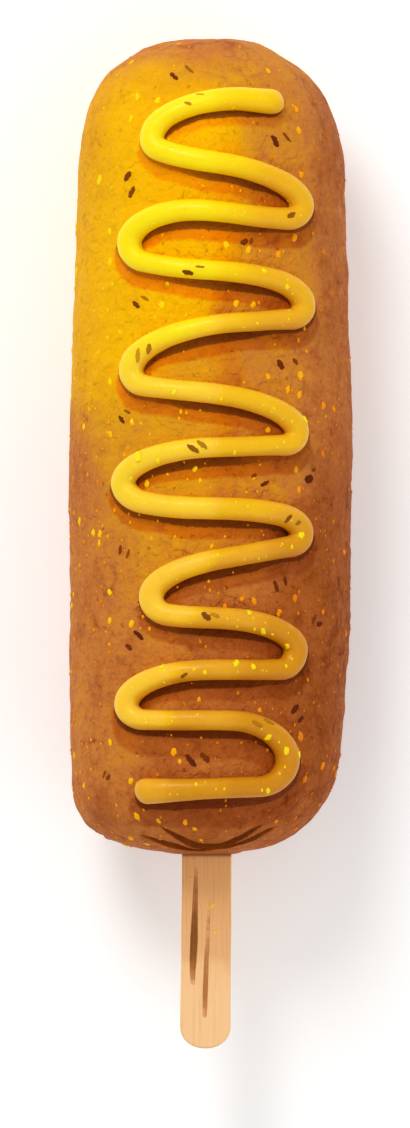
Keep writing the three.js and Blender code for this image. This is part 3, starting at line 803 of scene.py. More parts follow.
def build_stick():
    hidden = STICK["length"] - STICK["shown"]
    lo, hi = -hidden, STICK["shown"]
    # stations: dense in the round ends and along the bare length
    end = STICK["end_round"]
    q = 1 - np.cos(np.linspace(0, math.pi / 2, 26))
    v = np.r_[lo + end * q[1:], np.linspace(lo + end, 0, 18)[1:-1], np.linspace(-2, hi - end, 150), (hi - end * q[::-1])[1:-1]]
    v = np.unique(np.round(v, 5))
    near = np.minimum(v - lo, hi - v)
    k = 1 - np.clip(near / end, 0, 1)
    half = stick_half(v) * np.maximum(1 - k ** 2.2, 0) ** (1 / 2.1)
    # hand-cut edges are not quite straight
    half = half * (1 + 0.006 * np.sin(v / 5.3) + 0.004 * np.sin(v / 2.1 + 1))
    centre = stick_centre(v) + 0.03 * np.sin(v / 7.7 + 0.4)
    n_u = 101
    even = np.linspace(-1, 1, n_u)
    u = 0.55 * even + 0.45 * np.sin(even * math.pi / 2)  # closer together at the edges
    x = centre[:, None] + half[:, None] * u[None]
    # distance of each point to the outline, for the broken edge
    ol = np.vstack([np.stack([centre + half, v], -1), np.stack([centre - half, v], -1)[::-1]])
    ol = resample(np.vstack([ol, ol[:1]]), 0.12)
    tree = KDTree(len(ol))
    for i, p in enumerate(ol):
        tree.insert((p[0], p[1], 0), i)
    tree.balance()
    dist = np.array([[tree.find((xx, vv, 0))[2] for xx in row] for row, vv in zip(x, v)])
    dist[:, 0] = 0
    dist[:, -1] = 0
    r = STICK["edge"]
    drop = r - np.sqrt(np.maximum(r * r - (r - np.minimum(dist, r)) ** 2, 0))
    z_top = STICK["thickness"] / 2 - drop
    vv = np.repeat(v[:, None], n_u, 1)
    # grain: fine ridges along the stick, and the two splits
    p = np.stack([x, vv, np.zeros_like(x)], -1).reshape(-1, 3)
    grain = (0.022 * N1(p * np.array([1, 0.035, 1]), 0.55) + 0.018 * N2(p * np.array([1, 0.05, 1]), 1.4)).reshape(x.shape)
    split = np.zeros_like(x)
    deepness = np.zeros_like(x)
    for line, width, darkness in STREAKS:
        l = smooth_line(line, 0.1)
        wl = np.interp(np.linspace(0, 1, len(l)), np.linspace(0, 1, len(width)), width)
        t2 = KDTree(len(l))
        for i, pt in enumerate(l):
            t2.insert((pt[0], pt[1], 0), i)
        t2.balance()
        for i in range(len(v)):
            if v[i] < line[0][1] - 2 or v[i] > line[-1][1] + 2:
                continue
            for j in range(n_u):
                _, k2, dd = t2.find((x[i, j], v[i], 0))
                amount = 1 - smooth(dd, wl[k2] * 0.45, wl[k2] * 1.2)
                if amount > split[i, j]:
                    split[i, j] = amount
                    deepness[i, j] = np.interp(k2 / len(l), np.linspace(0, 1, len(darkness)), darkness)
    inner = np.clip(dist / r, 0, 1)
    top = np.stack([x, vv, z_top + grain * inner - 0.20 * split * np.minimum(deepness + 0.2, 1)], -1)
    bot = np.stack([x, vv, -z_top - grain[::-1] * inner], -1)
    ring = np.concatenate([top, bot[:, ::-1]], 1)  # one loop round each station
    ring[..., 1] += BODY_LENGTH
    ring[..., 2] += AXIS_HEIGHT
    m, k_n = ring.shape[:2]
    verts = ring.reshape(-1, 3)
    a_tip = verts[:k_n].mean(0) - np.array([0, 0.02, 0])
    b_tip = verts[-k_n:].mean(0) + np.array([0, 0.02, 0])
    verts = np.vstack([verts, a_tip, b_tip])
    i = np.arange(k_n)
    j = (i + 1) % k_n
    t0 = np.stack([np.full(k_n, m * k_n), i, j], -1)
    t1 = np.stack([np.full(k_n, m * k_n + 1), (m - 1) * k_n + j, (m - 1) * k_n + i], -1)
    o = mesh_object("stick_wood", put(verts), tube_quads(m, k_n), np.vstack([t0, t1]))
    face_out(o)
    s = np.concatenate([split, 0 * split], 1).ravel()
    attribute(o, "split", np.r_[s, 0, 0])
    # how dark the wood in the splits is
    deep = np.concatenate([deepness, 0 * deepness], 1).ravel()
    attribute(o, "deep", np.r_[deep, 0, 0])
    below = np.r_[np.repeat(v, k_n), lo, hi]
    attribute(o, "below", below)
    return o


# ------------------------------------------------------------------ grains and flakes
def ball(levels):
    """A round blob of triangles: unit vertices and faces."""
    f = (1 + 5 ** 0.5) / 2
    v = [(-1, f, 0), (1, f, 0), (-1, -f, 0), (1, -f, 0), (0, -1, f), (0, 1, f), (0, -1, -f), (0, 1, -f),
         (f, 0, -1), (f, 0, 1), (-f, 0, -1), (-f, 0, 1)]
    t = [(0, 11, 5), (0, 5, 1), (0, 1, 7), (0, 7, 10), (0, 10, 11), (1, 5, 9), (5, 11, 4), (11, 10, 2), (10, 7, 6), (7, 1, 8),
         (3, 9, 4), (3, 4, 2), (3, 2, 6), (3, 6, 8), (3, 8, 9), (4, 9, 5), (2, 4, 11), (6, 2, 10), (8, 6, 7), (9, 8, 1)]
    v = [np.array(p, float) / math.sqrt(1 + f * f) for p in v]
    for _ in range(levels):
        cache, out = {}, []

        def mid(a, b):
            key = (min(a, b), max(a, b))
            if key not in cache:
                m = v[a] + v[b]
                v.append(m / np.linalg.norm(m))
                cache[key] = len(v) - 1
            return cache[key]
        for a, b, c in t:
            ab, bc, ca = mid(a, b), mid(b, c), mid(c, a)
            out += [(a, ab, ca), (b, bc, ab), (c, ca, bc), (ab, bc, ca)]
        t = out
    return np.array(v), np.array(t)


def crust_surface(a, d):
    """Point and normal of the crust with its rolling relief."""
    p = base_point(a, d)
    n = base_normal(a, d)
    return p + n * relief(p)[..., None], n


def scatter(name, centres, normals, along, size, seed, levels, boxy=0.0, tones=None):
    """One mesh of many irregular grains. size: (n, 3) half length, half width, half height in mm."""
    r = np.random.default_rng(seed)
    bv, bt = ball(levels)
    n = len(centres)
    if boxy:
        q = np.sign(bv) * np.abs(bv) ** (1 - boxy)
        bv = bv * (1 - 0.0) * 0.5 + 0.5 * q / np.maximum(np.linalg.norm(q, axis=1, keepdims=True), 1e-9)
    along = unit(along - normals * (along * normals).sum(-1, keepdims=True))
    across = np.cross(normals, along)
    wob = Noise(seed + 5)
    seeds = r.uniform(0, 200, (n, 1, 3))
    bump = wob((bv[None] * 1.15 + seeds).reshape(-1, 3), 1.0).reshape(n, len(bv), 1)
    chip = wob((bv[None] * 2.6 + seeds * 1.7).reshape(-1, 3), 1.0).reshape(n, len(bv), 1)
    local = bv[None] * (1 + 0.40 * bump + 0.16 * chip)
    # a grain's outline keeps the length and width it is given
    local = local / np.abs(local).max(axis=1, keepdims=True)
    pts = (centres[:, None] + local[..., 0:1] * along[:, None] * size[:, None, 0:1]
           + local[..., 1:2] * across[:, None] * size[:, None, 1:2]
           + local[..., 2:3] * normals[:, None] * size[:, None, 2:3])
    tris = (bt[None] + (np.arange(n) * len(bv))[:, None, None]).reshape(-1, 3)
    verts = pts.reshape(-1, 3)
    verts[:, 2] = np.maximum(verts[:, 2], 0.0)
    o = mesh_object(name, put(verts), np.zeros((0, 4)), tris)
    face_out(o)
    if tones is None:
        tones = r.uniform(0, 1, n)
    attribute(o, "kind", np.repeat(tones, len(bv)))
    return o


def slivers(name, centres, normals, along, size, seed, tones):
    """One mesh of thin ragged slivers of toasted crust. size: (n, 3) half length, half width, half thickness in mm."""
    r = np.random.default_rng(seed)
    wob = Noise(seed + 9)
    stations, around = 21, 14
    sv = np.sin(np.linspace(-1, 1, stations) * math.pi / 2) * 0.995
    fa = np.arange(around) / around * 2 * math.pi
    cx, cz = np.cos(fa), np.sin(fa)
    cx, cz = np.sign(cx) * np.abs(cx) ** 0.75, np.sign(cz) * np.abs(cz) ** 0.75
    verts, quads, tris, kinds = [], [], [], []
    for c, n, t, (hl, hw, ht), tone in zip(centres, normals, along, size, tones):
        t = unit(t - n * (t * n).sum())
        w = np.cross(n, t)
        seed3 = r.uniform(0, 200, 3)
        taper = r.uniform(1.5, 3.2)
        bend = r.uniform(-0.22, 0.22)
        lo_hi = []
        for sign in (-1, 1):
            edge = wob(np.stack([sv * 2.4 + seed3[0], 0 * sv + sign * 4 + seed3[1], 0 * sv], -1), 1.0)
            fray = wob(np.stack([sv * 6.5 + seed3[1], 0 * sv + sign * 4 + seed3[2], 0 * sv], -1), 1.0)
            lo_hi.append(np.maximum(1 - np.abs(sv) ** taper, 0.0) ** 0.5 * np.clip(1 + 0.45 * edge + 0.28 * fray, 0.25, 1.35))
        half = np.where(cx[None] > 0, lo_hi[1][:, None], lo_hi[0][:, None]) * np.abs(cx)[None] * np.sign(cx)[None]
        thick = (1 - np.abs(sv) ** 4)[:, None] ** 0.5 * cz[None] * (1 + 0.35 * wob(
            np.stack([np.repeat(sv[:, None], around, 1) * 3 + seed3[2], half * 2, 0 * half], -1), 1.0))
        # the ends are torn, not round
        reach = sv[:, None] * (1 + 0.10 * wob(np.stack([half * 3.5 + seed3[0], 0 * half + np.sign(sv)[:, None] * 9, 0 * half], -1), 1.0))
        p = (c + t * (reach * hl)[..., None] + w * ((half + bend * (sv[:, None] ** 2 - 0.4)) * hw)[..., None]
             + n * (thick * ht)[..., None])
        k0 = len(verts) * (stations * around + 2)
        flat = p.reshape(-1, 3)
        verts.append(np.vstack([flat, flat[:around].mean(0) - t * 0.02, flat[-around:].mean(0) + t * 0.02]))
        i = np.arange(around)
        j = (i + 1) % around
        quads.append(tube_quads(stations, around) + k0)
        tris.append(np.stack([np.full(around, stations * around), i, j], -1) + k0)
        tris.append(np.stack([np.full(around, stations * around + 1), (stations - 1) * around + j,
                              (stations - 1) * around + i], -1) + k0)
        kinds.append(np.full(stations * around + 2, tone))
    o = mesh_object(name, put(np.vstack(verts)), np.vstack(quads), np.vstack(tris))
    face_out(o)
    attribute(o, "kind", np.concatenate(kinds))
    return o


def px(points):
    """Places read from the picture, in its pixels, as across and distance from the tip in mm."""
    q = np.array([p[:2] for p in points], float)
    return (q[:, 0] - 210) * 9.5 / 51, (q[:, 1] - 37) * 9.5 / 51


# Large flecks of cornmeal on the crust: place in the picture and length in pixels.
FLECKS = [
    (179, 43, 6), (132, 62, 8), (137, 97, 10), (158, 101, 9), (131, 119, 8), (99, 179, 14), (110, 232, 9), (110, 262, 9),
    (268, 71, 9), (296, 110, 9), (299, 131, 9), (301, 175, 8), (226, 246, 9), (248, 251, 9), (278, 255, 9), (294, 238, 9),
    (323, 252, 7), (162, 306, 9), (236, 304, 9), (253, 306, 8), (110, 382, 8), (72, 396, 8), (84, 427, 8), (132, 422, 8),
    (300, 376, 11), (268, 377, 8), (287, 390, 9), (299, 395, 10), (323, 406, 10), (334, 409, 8), (268, 431, 8),
    (147, 484, 9), (195, 470, 8), (200, 481, 6), (296, 470, 9), (299, 490, 8), (324, 454, 8), (79, 521, 10), (93, 533, 9),
    (100, 534, 9), (99, 543, 8), (212, 546, 7), (345, 552, 7), (110, 592, 8), (110, 621, 8), (132, 624, 10), (72, 606, 8),
    (225, 606, 7), (242, 599, 6), (254, 601, 10), (278, 614, 8), (294, 598, 9), (323, 612, 7), (199, 699, 6), (301, 736, 11),
    (110, 742, 8), (174, 751, 10), (180, 761, 7), (73, 756, 8), (323, 766, 9), (334, 768, 7), (305, 779, 10), (131, 781, 8),
    (84, 786, 8), (137, 816, 11), (159, 820, 8), (185, 822, 9), (195, 829, 8), (201, 840, 6), (131, 838, 9), (147, 844, 8),
    (296, 829, 7), (276, 821, 6),
]
# The same on the mustard.
FLECKS_ON_MUSTARD = [
    (264, 272, 8), (287, 288, 8), (305, 420, 10), (138, 457, 12), (158, 461, 7), (131, 479, 6), (301, 535, 10), (249, 612, 10),
    (263, 631, 8), (287, 646, 7), (236, 663, 10), (253, 666, 8), (162, 666, 8), (268, 737, 9), (286, 750, 10), (299, 754, 10),
    (268, 790, 8), (174, 393, 7), (278, 607, 7), (205, 672, 6),
]
# Crumbs on the stick.
CRUMBS_ON_STICK = [(212, 907, 6.5), (193, 861, 3.2), (199, 875, 3.2), (191, 879, 3), (215, 934, 4.5)]
# Toasted flakes: place, length and width in pixels, slant in degrees from across, and how light they are.
FLAKES = [
    (174, 77, 12, 4.6, -55, 0.25), (189, 70, 13, 3.6, -62, 0.85), (275, 142, 12, 6.5, -56, 0.1), (287, 138, 12, 3.4, -38, 0.6),
    (128, 177, 11, 6, 45, 0.45), (132, 193, 12, 5.5, 54, 0.6), (244, 243, 7.5, 6.5, 20, 0.3), (251, 242, 6, 3.5, 75, 0.6),
    (136, 305, 10, 5, -32, 0.4), (145, 299, 9, 3.5, -25, 0.95), (280, 365, 10, 6.5, -60, 0.15), (295, 362, 7.5, 5, -42, 0.5),
    (121, 420, 9.5, 5, -40, 0.2), (127, 412, 8, 3.4, -18, 0.8), (265, 484, 9.5, 4.5, 25, 0.15), (254, 476, 5.5, 4, 35, 0.5),
    (309, 479, 10.5, 9, 10, 0.0), (314, 470, 5.5, 4, 10, 0.5), (120, 550, 9, 4, 68, 0.5), (128, 554, 9, 3.6, 60, 0.7),
    (276, 586, 11, 4.5, -72, 0.2), (285, 581, 9, 4.2, -80, 0.2), (320, 624, 8.5, 5.5, 5, 0.05), (314, 619, 10, 3.2, 48, 0.35),
    (139, 635, 12.5, 5, -36, 0.0), (129, 647, 8, 5, -38, 0.3), (295, 709, 11.5, 6.5, 32, 0.0), (301, 719, 8.5, 5, 32, 0.05),
    (191, 760, 14, 6, -50, 0.05), (205, 757, 11, 6, -48, 0.30), (108, 777, 7, 4.6, 35, 0.5), (104, 774, 8, 3, 50, 0.7),
]
FLAKES_ON_MUSTARD = [
    (188, 105, 7, 3.4, -18, 0.9), (200, 96, 8, 1.6, -12, 1.0), (291, 216, 10, 5, 30, 0.45), (188, 274, 10.5, 4.6, -10, 0.1),
    (200, 268, 9, 2.4, -5, 0.75), (138, 356, 13, 4.2, 84, 0.95), (149, 350, 10, 5, 80, 0.7), (193, 449, 12.5, 5.4, -32, 0.45),
    (202, 445, 11.5, 4.4, -40, 0.75), (288, 519, 9.5, 4, 50, 0.35), (298, 523, 6, 4, 20, 0.6), (206, 616, 10, 6, -38, 0.25),
    (215, 615, 8.5, 4.2, -20, 0.85), (184, 675, 8, 3.4, 40, 0.4), (257, 723, 11, 4.6, -25, 0.72), (269, 721, 11, 4, -5, 0.72),
]


def mesh_tree(o):
    co = np.zeros(len(o.data.vertices) * 3, np.float32)
    o.data.vertices.foreach_get("co", co)
    return BVHTree.FromPolygons(co.reshape(-1, 3).tolist(), [tuple(p.vertices) for p in o.data.polygons])


def bead_crown(x, d):
    """Point and outward direction on the mustard's skin over plan points, found on its mesh."""
    tree = mesh_tree(MUSTARD)
    pts, nor, ok = [], [], []
    for xx, dd in zip(x, d):
        origin = put(np.array([xx, dd, 80.0]))
        hit = tree.ray_cast(Vector(origin), Vector((0, 0, -1)))
        ok.append(hit[0] is not None)
        loc = hit[0] or Vector((0, 0, 0))
        nn = hit[1] or Vector((0, 0, 1))
        pts.append([loc.x / MM - AXIS_X, TIP_Y - loc.y / MM, loc.z / MM])
        nor.append([nn.x, -nn.y, nn.z])
    return np.array(pts), np.array(nor), np.array(ok)


def on_crust(p):
    """Nearest points of the finished crust, and its outward directions there."""
    loc, nor = [], []
    for q in put(p):
        at, n, _, _ = CRUST_TREE.find_nearest(Vector(q))
        loc.append([at.x / MM - AXIS_X, TIP_Y - at.y / MM, at.z / MM])
        nor.append([n.x, -n.y, n.z])
    return np.array(loc), np.array(nor)


def keep_off_mustard(x, d, top, margin):
    """True where a plan point on the upper side is clear of the bead."""
    tree = KDTree(len(BEAD_FOOT))
    for i, p in enumerate(BEAD_FOOT):
        tree.insert((p[0], p[1], 0), i)
    tree.balance()
    return np.array([(not t) or tree.find((xx, dd, 0))[2] > margin for xx, dd, t in zip(x, d, top)])


def build_grains():
    out = []
    px_mm = 9.5 / 51
    # large flecks where the picture shows them
    x, d = px(FLECKS)
    length = np.array([f[2] for f in FLECKS]) * px_mm / 2
    a = angle_over(x, d)
    r = np.random.default_rng(5)
    c, n = crust_surface(a, d)
    # and on the hidden sides, as many to an area
    ha, hd = spread_on_crust(150, 900)
    hide = (np.sin(ha) < 0.25) & (base_point(ha, hd)[:, 2] > 0.4)
    ha, hd = ha[hide], hd[hide]
    hc, hn = crust_surface(ha, hd)
    c, n = on_crust(np.vstack([c, hc]))
    length = np.r_[length, r.uniform(0.5, 1.05, len(ha))]
    along = np.zeros_like(c)
    spin = r.normal(0, 0.28, len(c))
    along[:, 1], along[:, 0] = np.cos(spin), np.sin(spin)
    steep = np.abs(n[:, 1]) > 0.9
    along[steep] = (1, 0, 0.3)
    size = np.stack([length, length * r.uniform(0.58, 0.80, len(c)), np.full(len(c), 0.30)], -1)
    size[:, 1] = np.clip(size[:, 1], 0.42, 0.72)
    # brightness follows the crust round it, painted shade included: yellow on gold, orange on brown, deeper to the
    # right
    tones = np.clip(tone_field(c[:, 0], c[:, 1], c[:, 2]) + 0.25 * c[:, 0] / 26, 0, 1) + r.normal(0, 0.07, len(c))
    out.append(scatter("cornmeal_coarse", c - n * 0.06, n, along, size, 61, 2, 0.25, tones))
    # a few dry crumbs have dropped on the stick
    x, d = px(CRUMBS_ON_STICK)
    half = np.array([f[2] for f in CRUMBS_ON_STICK]) * px_mm / 2
    c = np.stack([x, d, np.full(len(x), AXIS_HEIGHT + STICK["thickness"] / 2)], -1)
    n = np.tile([0.0, 0.0, 1.0], (len(x), 1))
    along = np.stack([0.4 * np.cos(x * 9), 1 + 0 * x, 0 * x], -1)
    size = np.stack([half * 1.1, half * 0.85, half * 0.4], -1)
    out.append(scatter("crumbs_on_stick", c, n, along, size, 64, 2, 0.25, np.full(len(x), 0.5)))

    # fine grains all round, denser towards the middle and the butt
    a, d = spread_on_crust(3000, 910)
    p = base_point(a, d)
    dens = 0.20 + 0.34 * smooth(p[:, 1], 30, 75)
    dens = dens * (1 - 0.35 * smooth(np.abs(np.cos(a)), 0.80, 0.95) * (np.sin(a) > -0.2))
    keep = (r.uniform(0, 1, len(a)) < dens) & (p[:, 2] > 0.3)
    keep &= keep_off_mustard(p[:, 0], p[:, 1], p[:, 2] > AXIS_HEIGHT, 2.3)
    a, d = a[keep], d[keep]
    c, n = on_crust(crust_surface(a, d)[0])
    along = np.zeros_like(c)
    spin = r.normal(0, 0.35, len(c))
    along[:, 1], along[:, 0] = np.cos(spin), np.sin(spin)
    steep = np.abs(n[:, 1]) > 0.9
    along[steep] = (1, 0, 0.3)
    length = np.exp(r.normal(math.log(0.29), 0.30, len(c)))
    size = np.stack([length, length * r.uniform(0.50, 0.80, len(c)), np.clip(length * 0.6, 0.1, 0.25)], -1)
    # many are half sunk in the batter and as brown as it is, painted shade included
    own = np.clip(tone_field(c[:, 0], c[:, 1], c[:, 2]), 0, 1)
    tones = own + (0.10 + 0.8 * own) * r.uniform(0.0, 1.0, len(c)) ** 1.5
    out.append(scatter("cornmeal_fine", c - n * 0.03, n, along, size, 62, 1, 0.2, tones))

    # on the mustard: coarse where shown, fine ones scattered along it
    x, d = px(FLECKS_ON_MUSTARD)
    length = np.array([f[2] for f in FLECKS_ON_MUSTARD]) * px_mm / 2
    k = r.choice(len(BEAD_FOOT), 150, replace=False)
    fx = BEAD_FOOT[k, 0] + r.uniform(-1.3, 1.3, len(k))
    fd = BEAD_FOOT[k, 1] + r.uniform(-1.3, 1.3, len(k))
    x, d = np.r_[x, fx], np.r_[d, fd]
    length = np.r_[length, np.exp(r.normal(math.log(0.27), 0.25, len(k)))]
    c, n, ok = bead_crown(x, d)
    c, n, length = c[ok], n[ok], length[ok]
    along = np.zeros_like(c)
    spin = r.normal(0, 0.3, len(c))
    along[:, 1], along[:, 0] = np.cos(spin), np.sin(spin)
    size = np.stack([length, length * 0.68, np.clip(length * 0.5, 0.1, 0.28)], -1)
    size[:, 1] = np.minimum(size[:, 1], 0.65)
    # their colour follows the mustard's tone, which is painted shade
    tones = np.clip(mustard_tone(c[:, 0], c[:, 1]) + r.normal(0, 0.1, len(c)), 0, 1)
    out.append(scatter("cornmeal_on_mustard", c - n * 0.04, n, along, size, 63, 2, 0.2, tones))
    return out


def build_flakes():
    px_mm = 9.5 / 51
    r = np.random.default_rng(8)
    x, d = px(FLAKES)
    a = angle_over(x, d)
    c, n = crust_surface(a, d)
    f = np.array(FLAKES, float)
    slant = np.radians(f[:, 4])
    length, width = f[:, 2] * px_mm / 2, f[:, 3] * px_mm / 2
    # pairs of the same on the hidden sides
    ha, hd = spread_on_crust(54, 950, 8, BODY_LENGTH - 8)
    hide = (np.sin(ha) < -0.12) & (base_point(ha, hd)[:, 2] > 0.6)
    ha, hd = ha[hide], hd[hide]
    turn = r.uniform(0, 2 * math.pi, len(ha))
    ha2, hd2 = ha + 2.1 * np.cos(turn) / 25, hd + 2.1 * np.sin(turn)
    ha, hd = np.r_[ha, ha2], np.clip(np.r_[hd, hd2], 3, BODY_LENGTH - 3)
    clear = base_point(ha, hd)[:, 2] > 1.3  # none pokes under the flat
    ha, hd = ha[clear], hd[clear]
    hc, hn = crust_surface(ha, hd)
    c, n = on_crust(np.vstack([c, hc]))
    slant = np.r_[slant, r.uniform(-1.2, 1.2, len(ha))]
    length = np.r_[length, r.uniform(0.7, 1.15, len(ha))]
    width = np.r_[width, r.uniform(0.3, 0.52, len(ha))]
    # slant is seen from above: across is +x, and d grows towards the butt, so a rise in the picture is a fall in d
    along = np.stack([np.cos(slant), -np.sin(slant), 0 * slant], -1)
    side = n[:, 2] < 0.35
    along[side] = np.stack([0.2 * np.cos(slant[side]), -np.sin(slant[side]), np.cos(slant[side])], -1)
    size = np.stack([length * 1.12, width * 0.95, np.full(len(c), 0.17)], -1)
    tones = np.r_[f[:, 5], r.uniform(0.0, 0.6, len(ha))]
    one = slivers("toasted_flakes", c - n * 0.02, n, along, size, 71, np.clip(tones, 0, 1))

    x, d = px(FLAKES_ON_MUSTARD)
    c, n, ok = bead_crown(x, d)
    f = np.array(FLAKES_ON_MUSTARD, float)[ok]
    c, n = c[ok], n[ok]
    slant = np.radians(f[:, 4])
    along = np.stack([np.cos(slant), -np.sin(slant), 0 * slant], -1)
    size = np.stack([f[:, 2] * px_mm / 2 * 1.12, f[:, 3] * px_mm / 2, np.full(len(c), 0.15)], -1)
    two = slivers("toasted_flakes_on_mustard", c - n * 0.03, n, along, size, 72, f[:, 5])
    return [one, two]


# ------------------------------------------------------------------ materials
def srgb(h):
    """A hex colour as linear RGBA."""
    c = [int(h[i:i + 2], 16) / 255 for i in (1, 3, 5)]
    return tuple(v / 12.92 if v <= 0.04045 else ((v + 0.055) / 1.055) ** 2.4 for v in c) + (1.0,)


class Nodes:
    """Short hand for building a node tree."""

    def __init__(self, name):
        self.mat = bpy.data.materials.new(name)
        self.mat.use_nodes = True
        self.tree = self.mat.node_tree
        self.tree.nodes.clear()
        self.out = self.tree.nodes.new("ShaderNodeOutputMaterial")
        self.bsdf = self.tree.nodes.new("ShaderNodeBsdfPrincipled")
        self.link(self.bsdf.outputs[0], self.out.inputs[0])
        self.coord = self.tree.nodes.new("ShaderNodeTexCoord").outputs["Object"]

    def link(self, a, b):
        self.tree.links.new(a, b)

    def set(self, socket, value):
        if hasattr(value, "is_linked") or isinstance(value, bpy.types.NodeSocket):
            self.link(value, socket)
        else:
            socket.default_value = value

    def attr(self, name):
        n = self.tree.nodes.new("ShaderNodeAttribute")
        n.attribute_name = name
        return n.outputs["Fac"]

    def mapped(self, scale):
        n = self.tree.nodes.new("ShaderNodeMapping")
        n.inputs["Scale"].default_value = scale
        self.link(self.coord, n.inputs["Vector"])
        return n.outputs[0]

    def noise(self, scale, detail=2.0, rough=0.5, vector=None, distortion=0.0):
        n = self.tree.nodes.new("ShaderNodeTexNoise")
        n.inputs["Scale"].default_value = scale
        n.inputs["Detail"].default_value = detail
        n.inputs["Roughness"].default_value = rough
        n.inputs["Distortion"].default_value = distortion
        self.link(vector or self.coord, n.inputs["Vector"])
        return n.outputs[0]

    def cells(self, scale, feature="F1", smoothness=None, vector=None):
        n = self.tree.nodes.new("ShaderNodeTexVoronoi")
        n.feature = feature
        n.inputs["Scale"].default_value = scale
        if smoothness is not None and "Smoothness" in n.inputs:
            n.inputs["Smoothness"].default_value = smoothness
        self.link(vector or self.coord, n.inputs["Vector"])
        return n.outputs["Distance"]

    def math(self, op, a, b=None, c=None, clamp=False):
        n = self.tree.nodes.new("ShaderNodeMath")
        n.operation = op
        n.use_clamp = clamp
        self.set(n.inputs[0], a)
        if b is not None:
            self.set(n.inputs[1], b)
        if c is not None:
            self.set(n.inputs[2], c)
        return n.outputs[0]

    def span(self, value, lo, hi, to_lo=0.0, to_hi=1.0):
        n = self.tree.nodes.new("ShaderNodeMapRange")
        n.interpolation_type = "SMOOTHSTEP"
        for k, v in zip(("Value", "From Min", "From Max", "To Min", "To Max"), (value, lo, hi, to_lo, to_hi)):
            self.set(n.inputs[k], v)
        return n.outputs[0]

    def ramp(self, fac, stops):
        n = self.tree.nodes.new("ShaderNodeValToRGB")
        self.set(n.inputs[0], fac)
        e = n.color_ramp.elements
        while len(e) < len(stops):
            e.new(0.5)
        for k, (pos, col) in enumerate(stops):
            e[k].position = pos
        for k, (pos, col) in enumerate(stops):
            e[k].color = srgb(col) if isinstance(col, str) else col
        return n.outputs[0]

    def mix(self, fac, a, b, blend="MIX"):
        n = self.tree.nodes.new("ShaderNodeMix")
        n.data_type = "RGBA"
        n.blend_type = blend
        self.set(n.inputs["Factor"], fac)
        self.set(n.inputs[6], srgb(a) if isinstance(a, str) else a)
        self.set(n.inputs[7], srgb(b) if isinstance(b, str) else b)
        return n.outputs[2]

    def bump(self, height, distance, strength=1.0, normal=None):
        n = self.tree.nodes.new("ShaderNodeBump")
        n.inputs["Strength"].default_value = strength
        n.inputs["Distance"].default_value = distance
        self.link(height, n.inputs["Height"])
        if normal is not None:
            self.link(normal, n.inputs["Normal"])
        return n.outputs[0]


# colours of the crust's tone, golden to dark brown; the tone holds painted shade as well as browning
CRUST_RAMP = [(0.0, "#FFC200"), (0.10, "#F6B600"), (0.22, "#EAA60A"), (0.35, "#DF9A1E"), (0.47, "#D68A26"),
              (0.60, "#CB7B34"), (0.75, "#B6632A"), (0.88, "#A6551C"), (1.0, "#8E400E")]


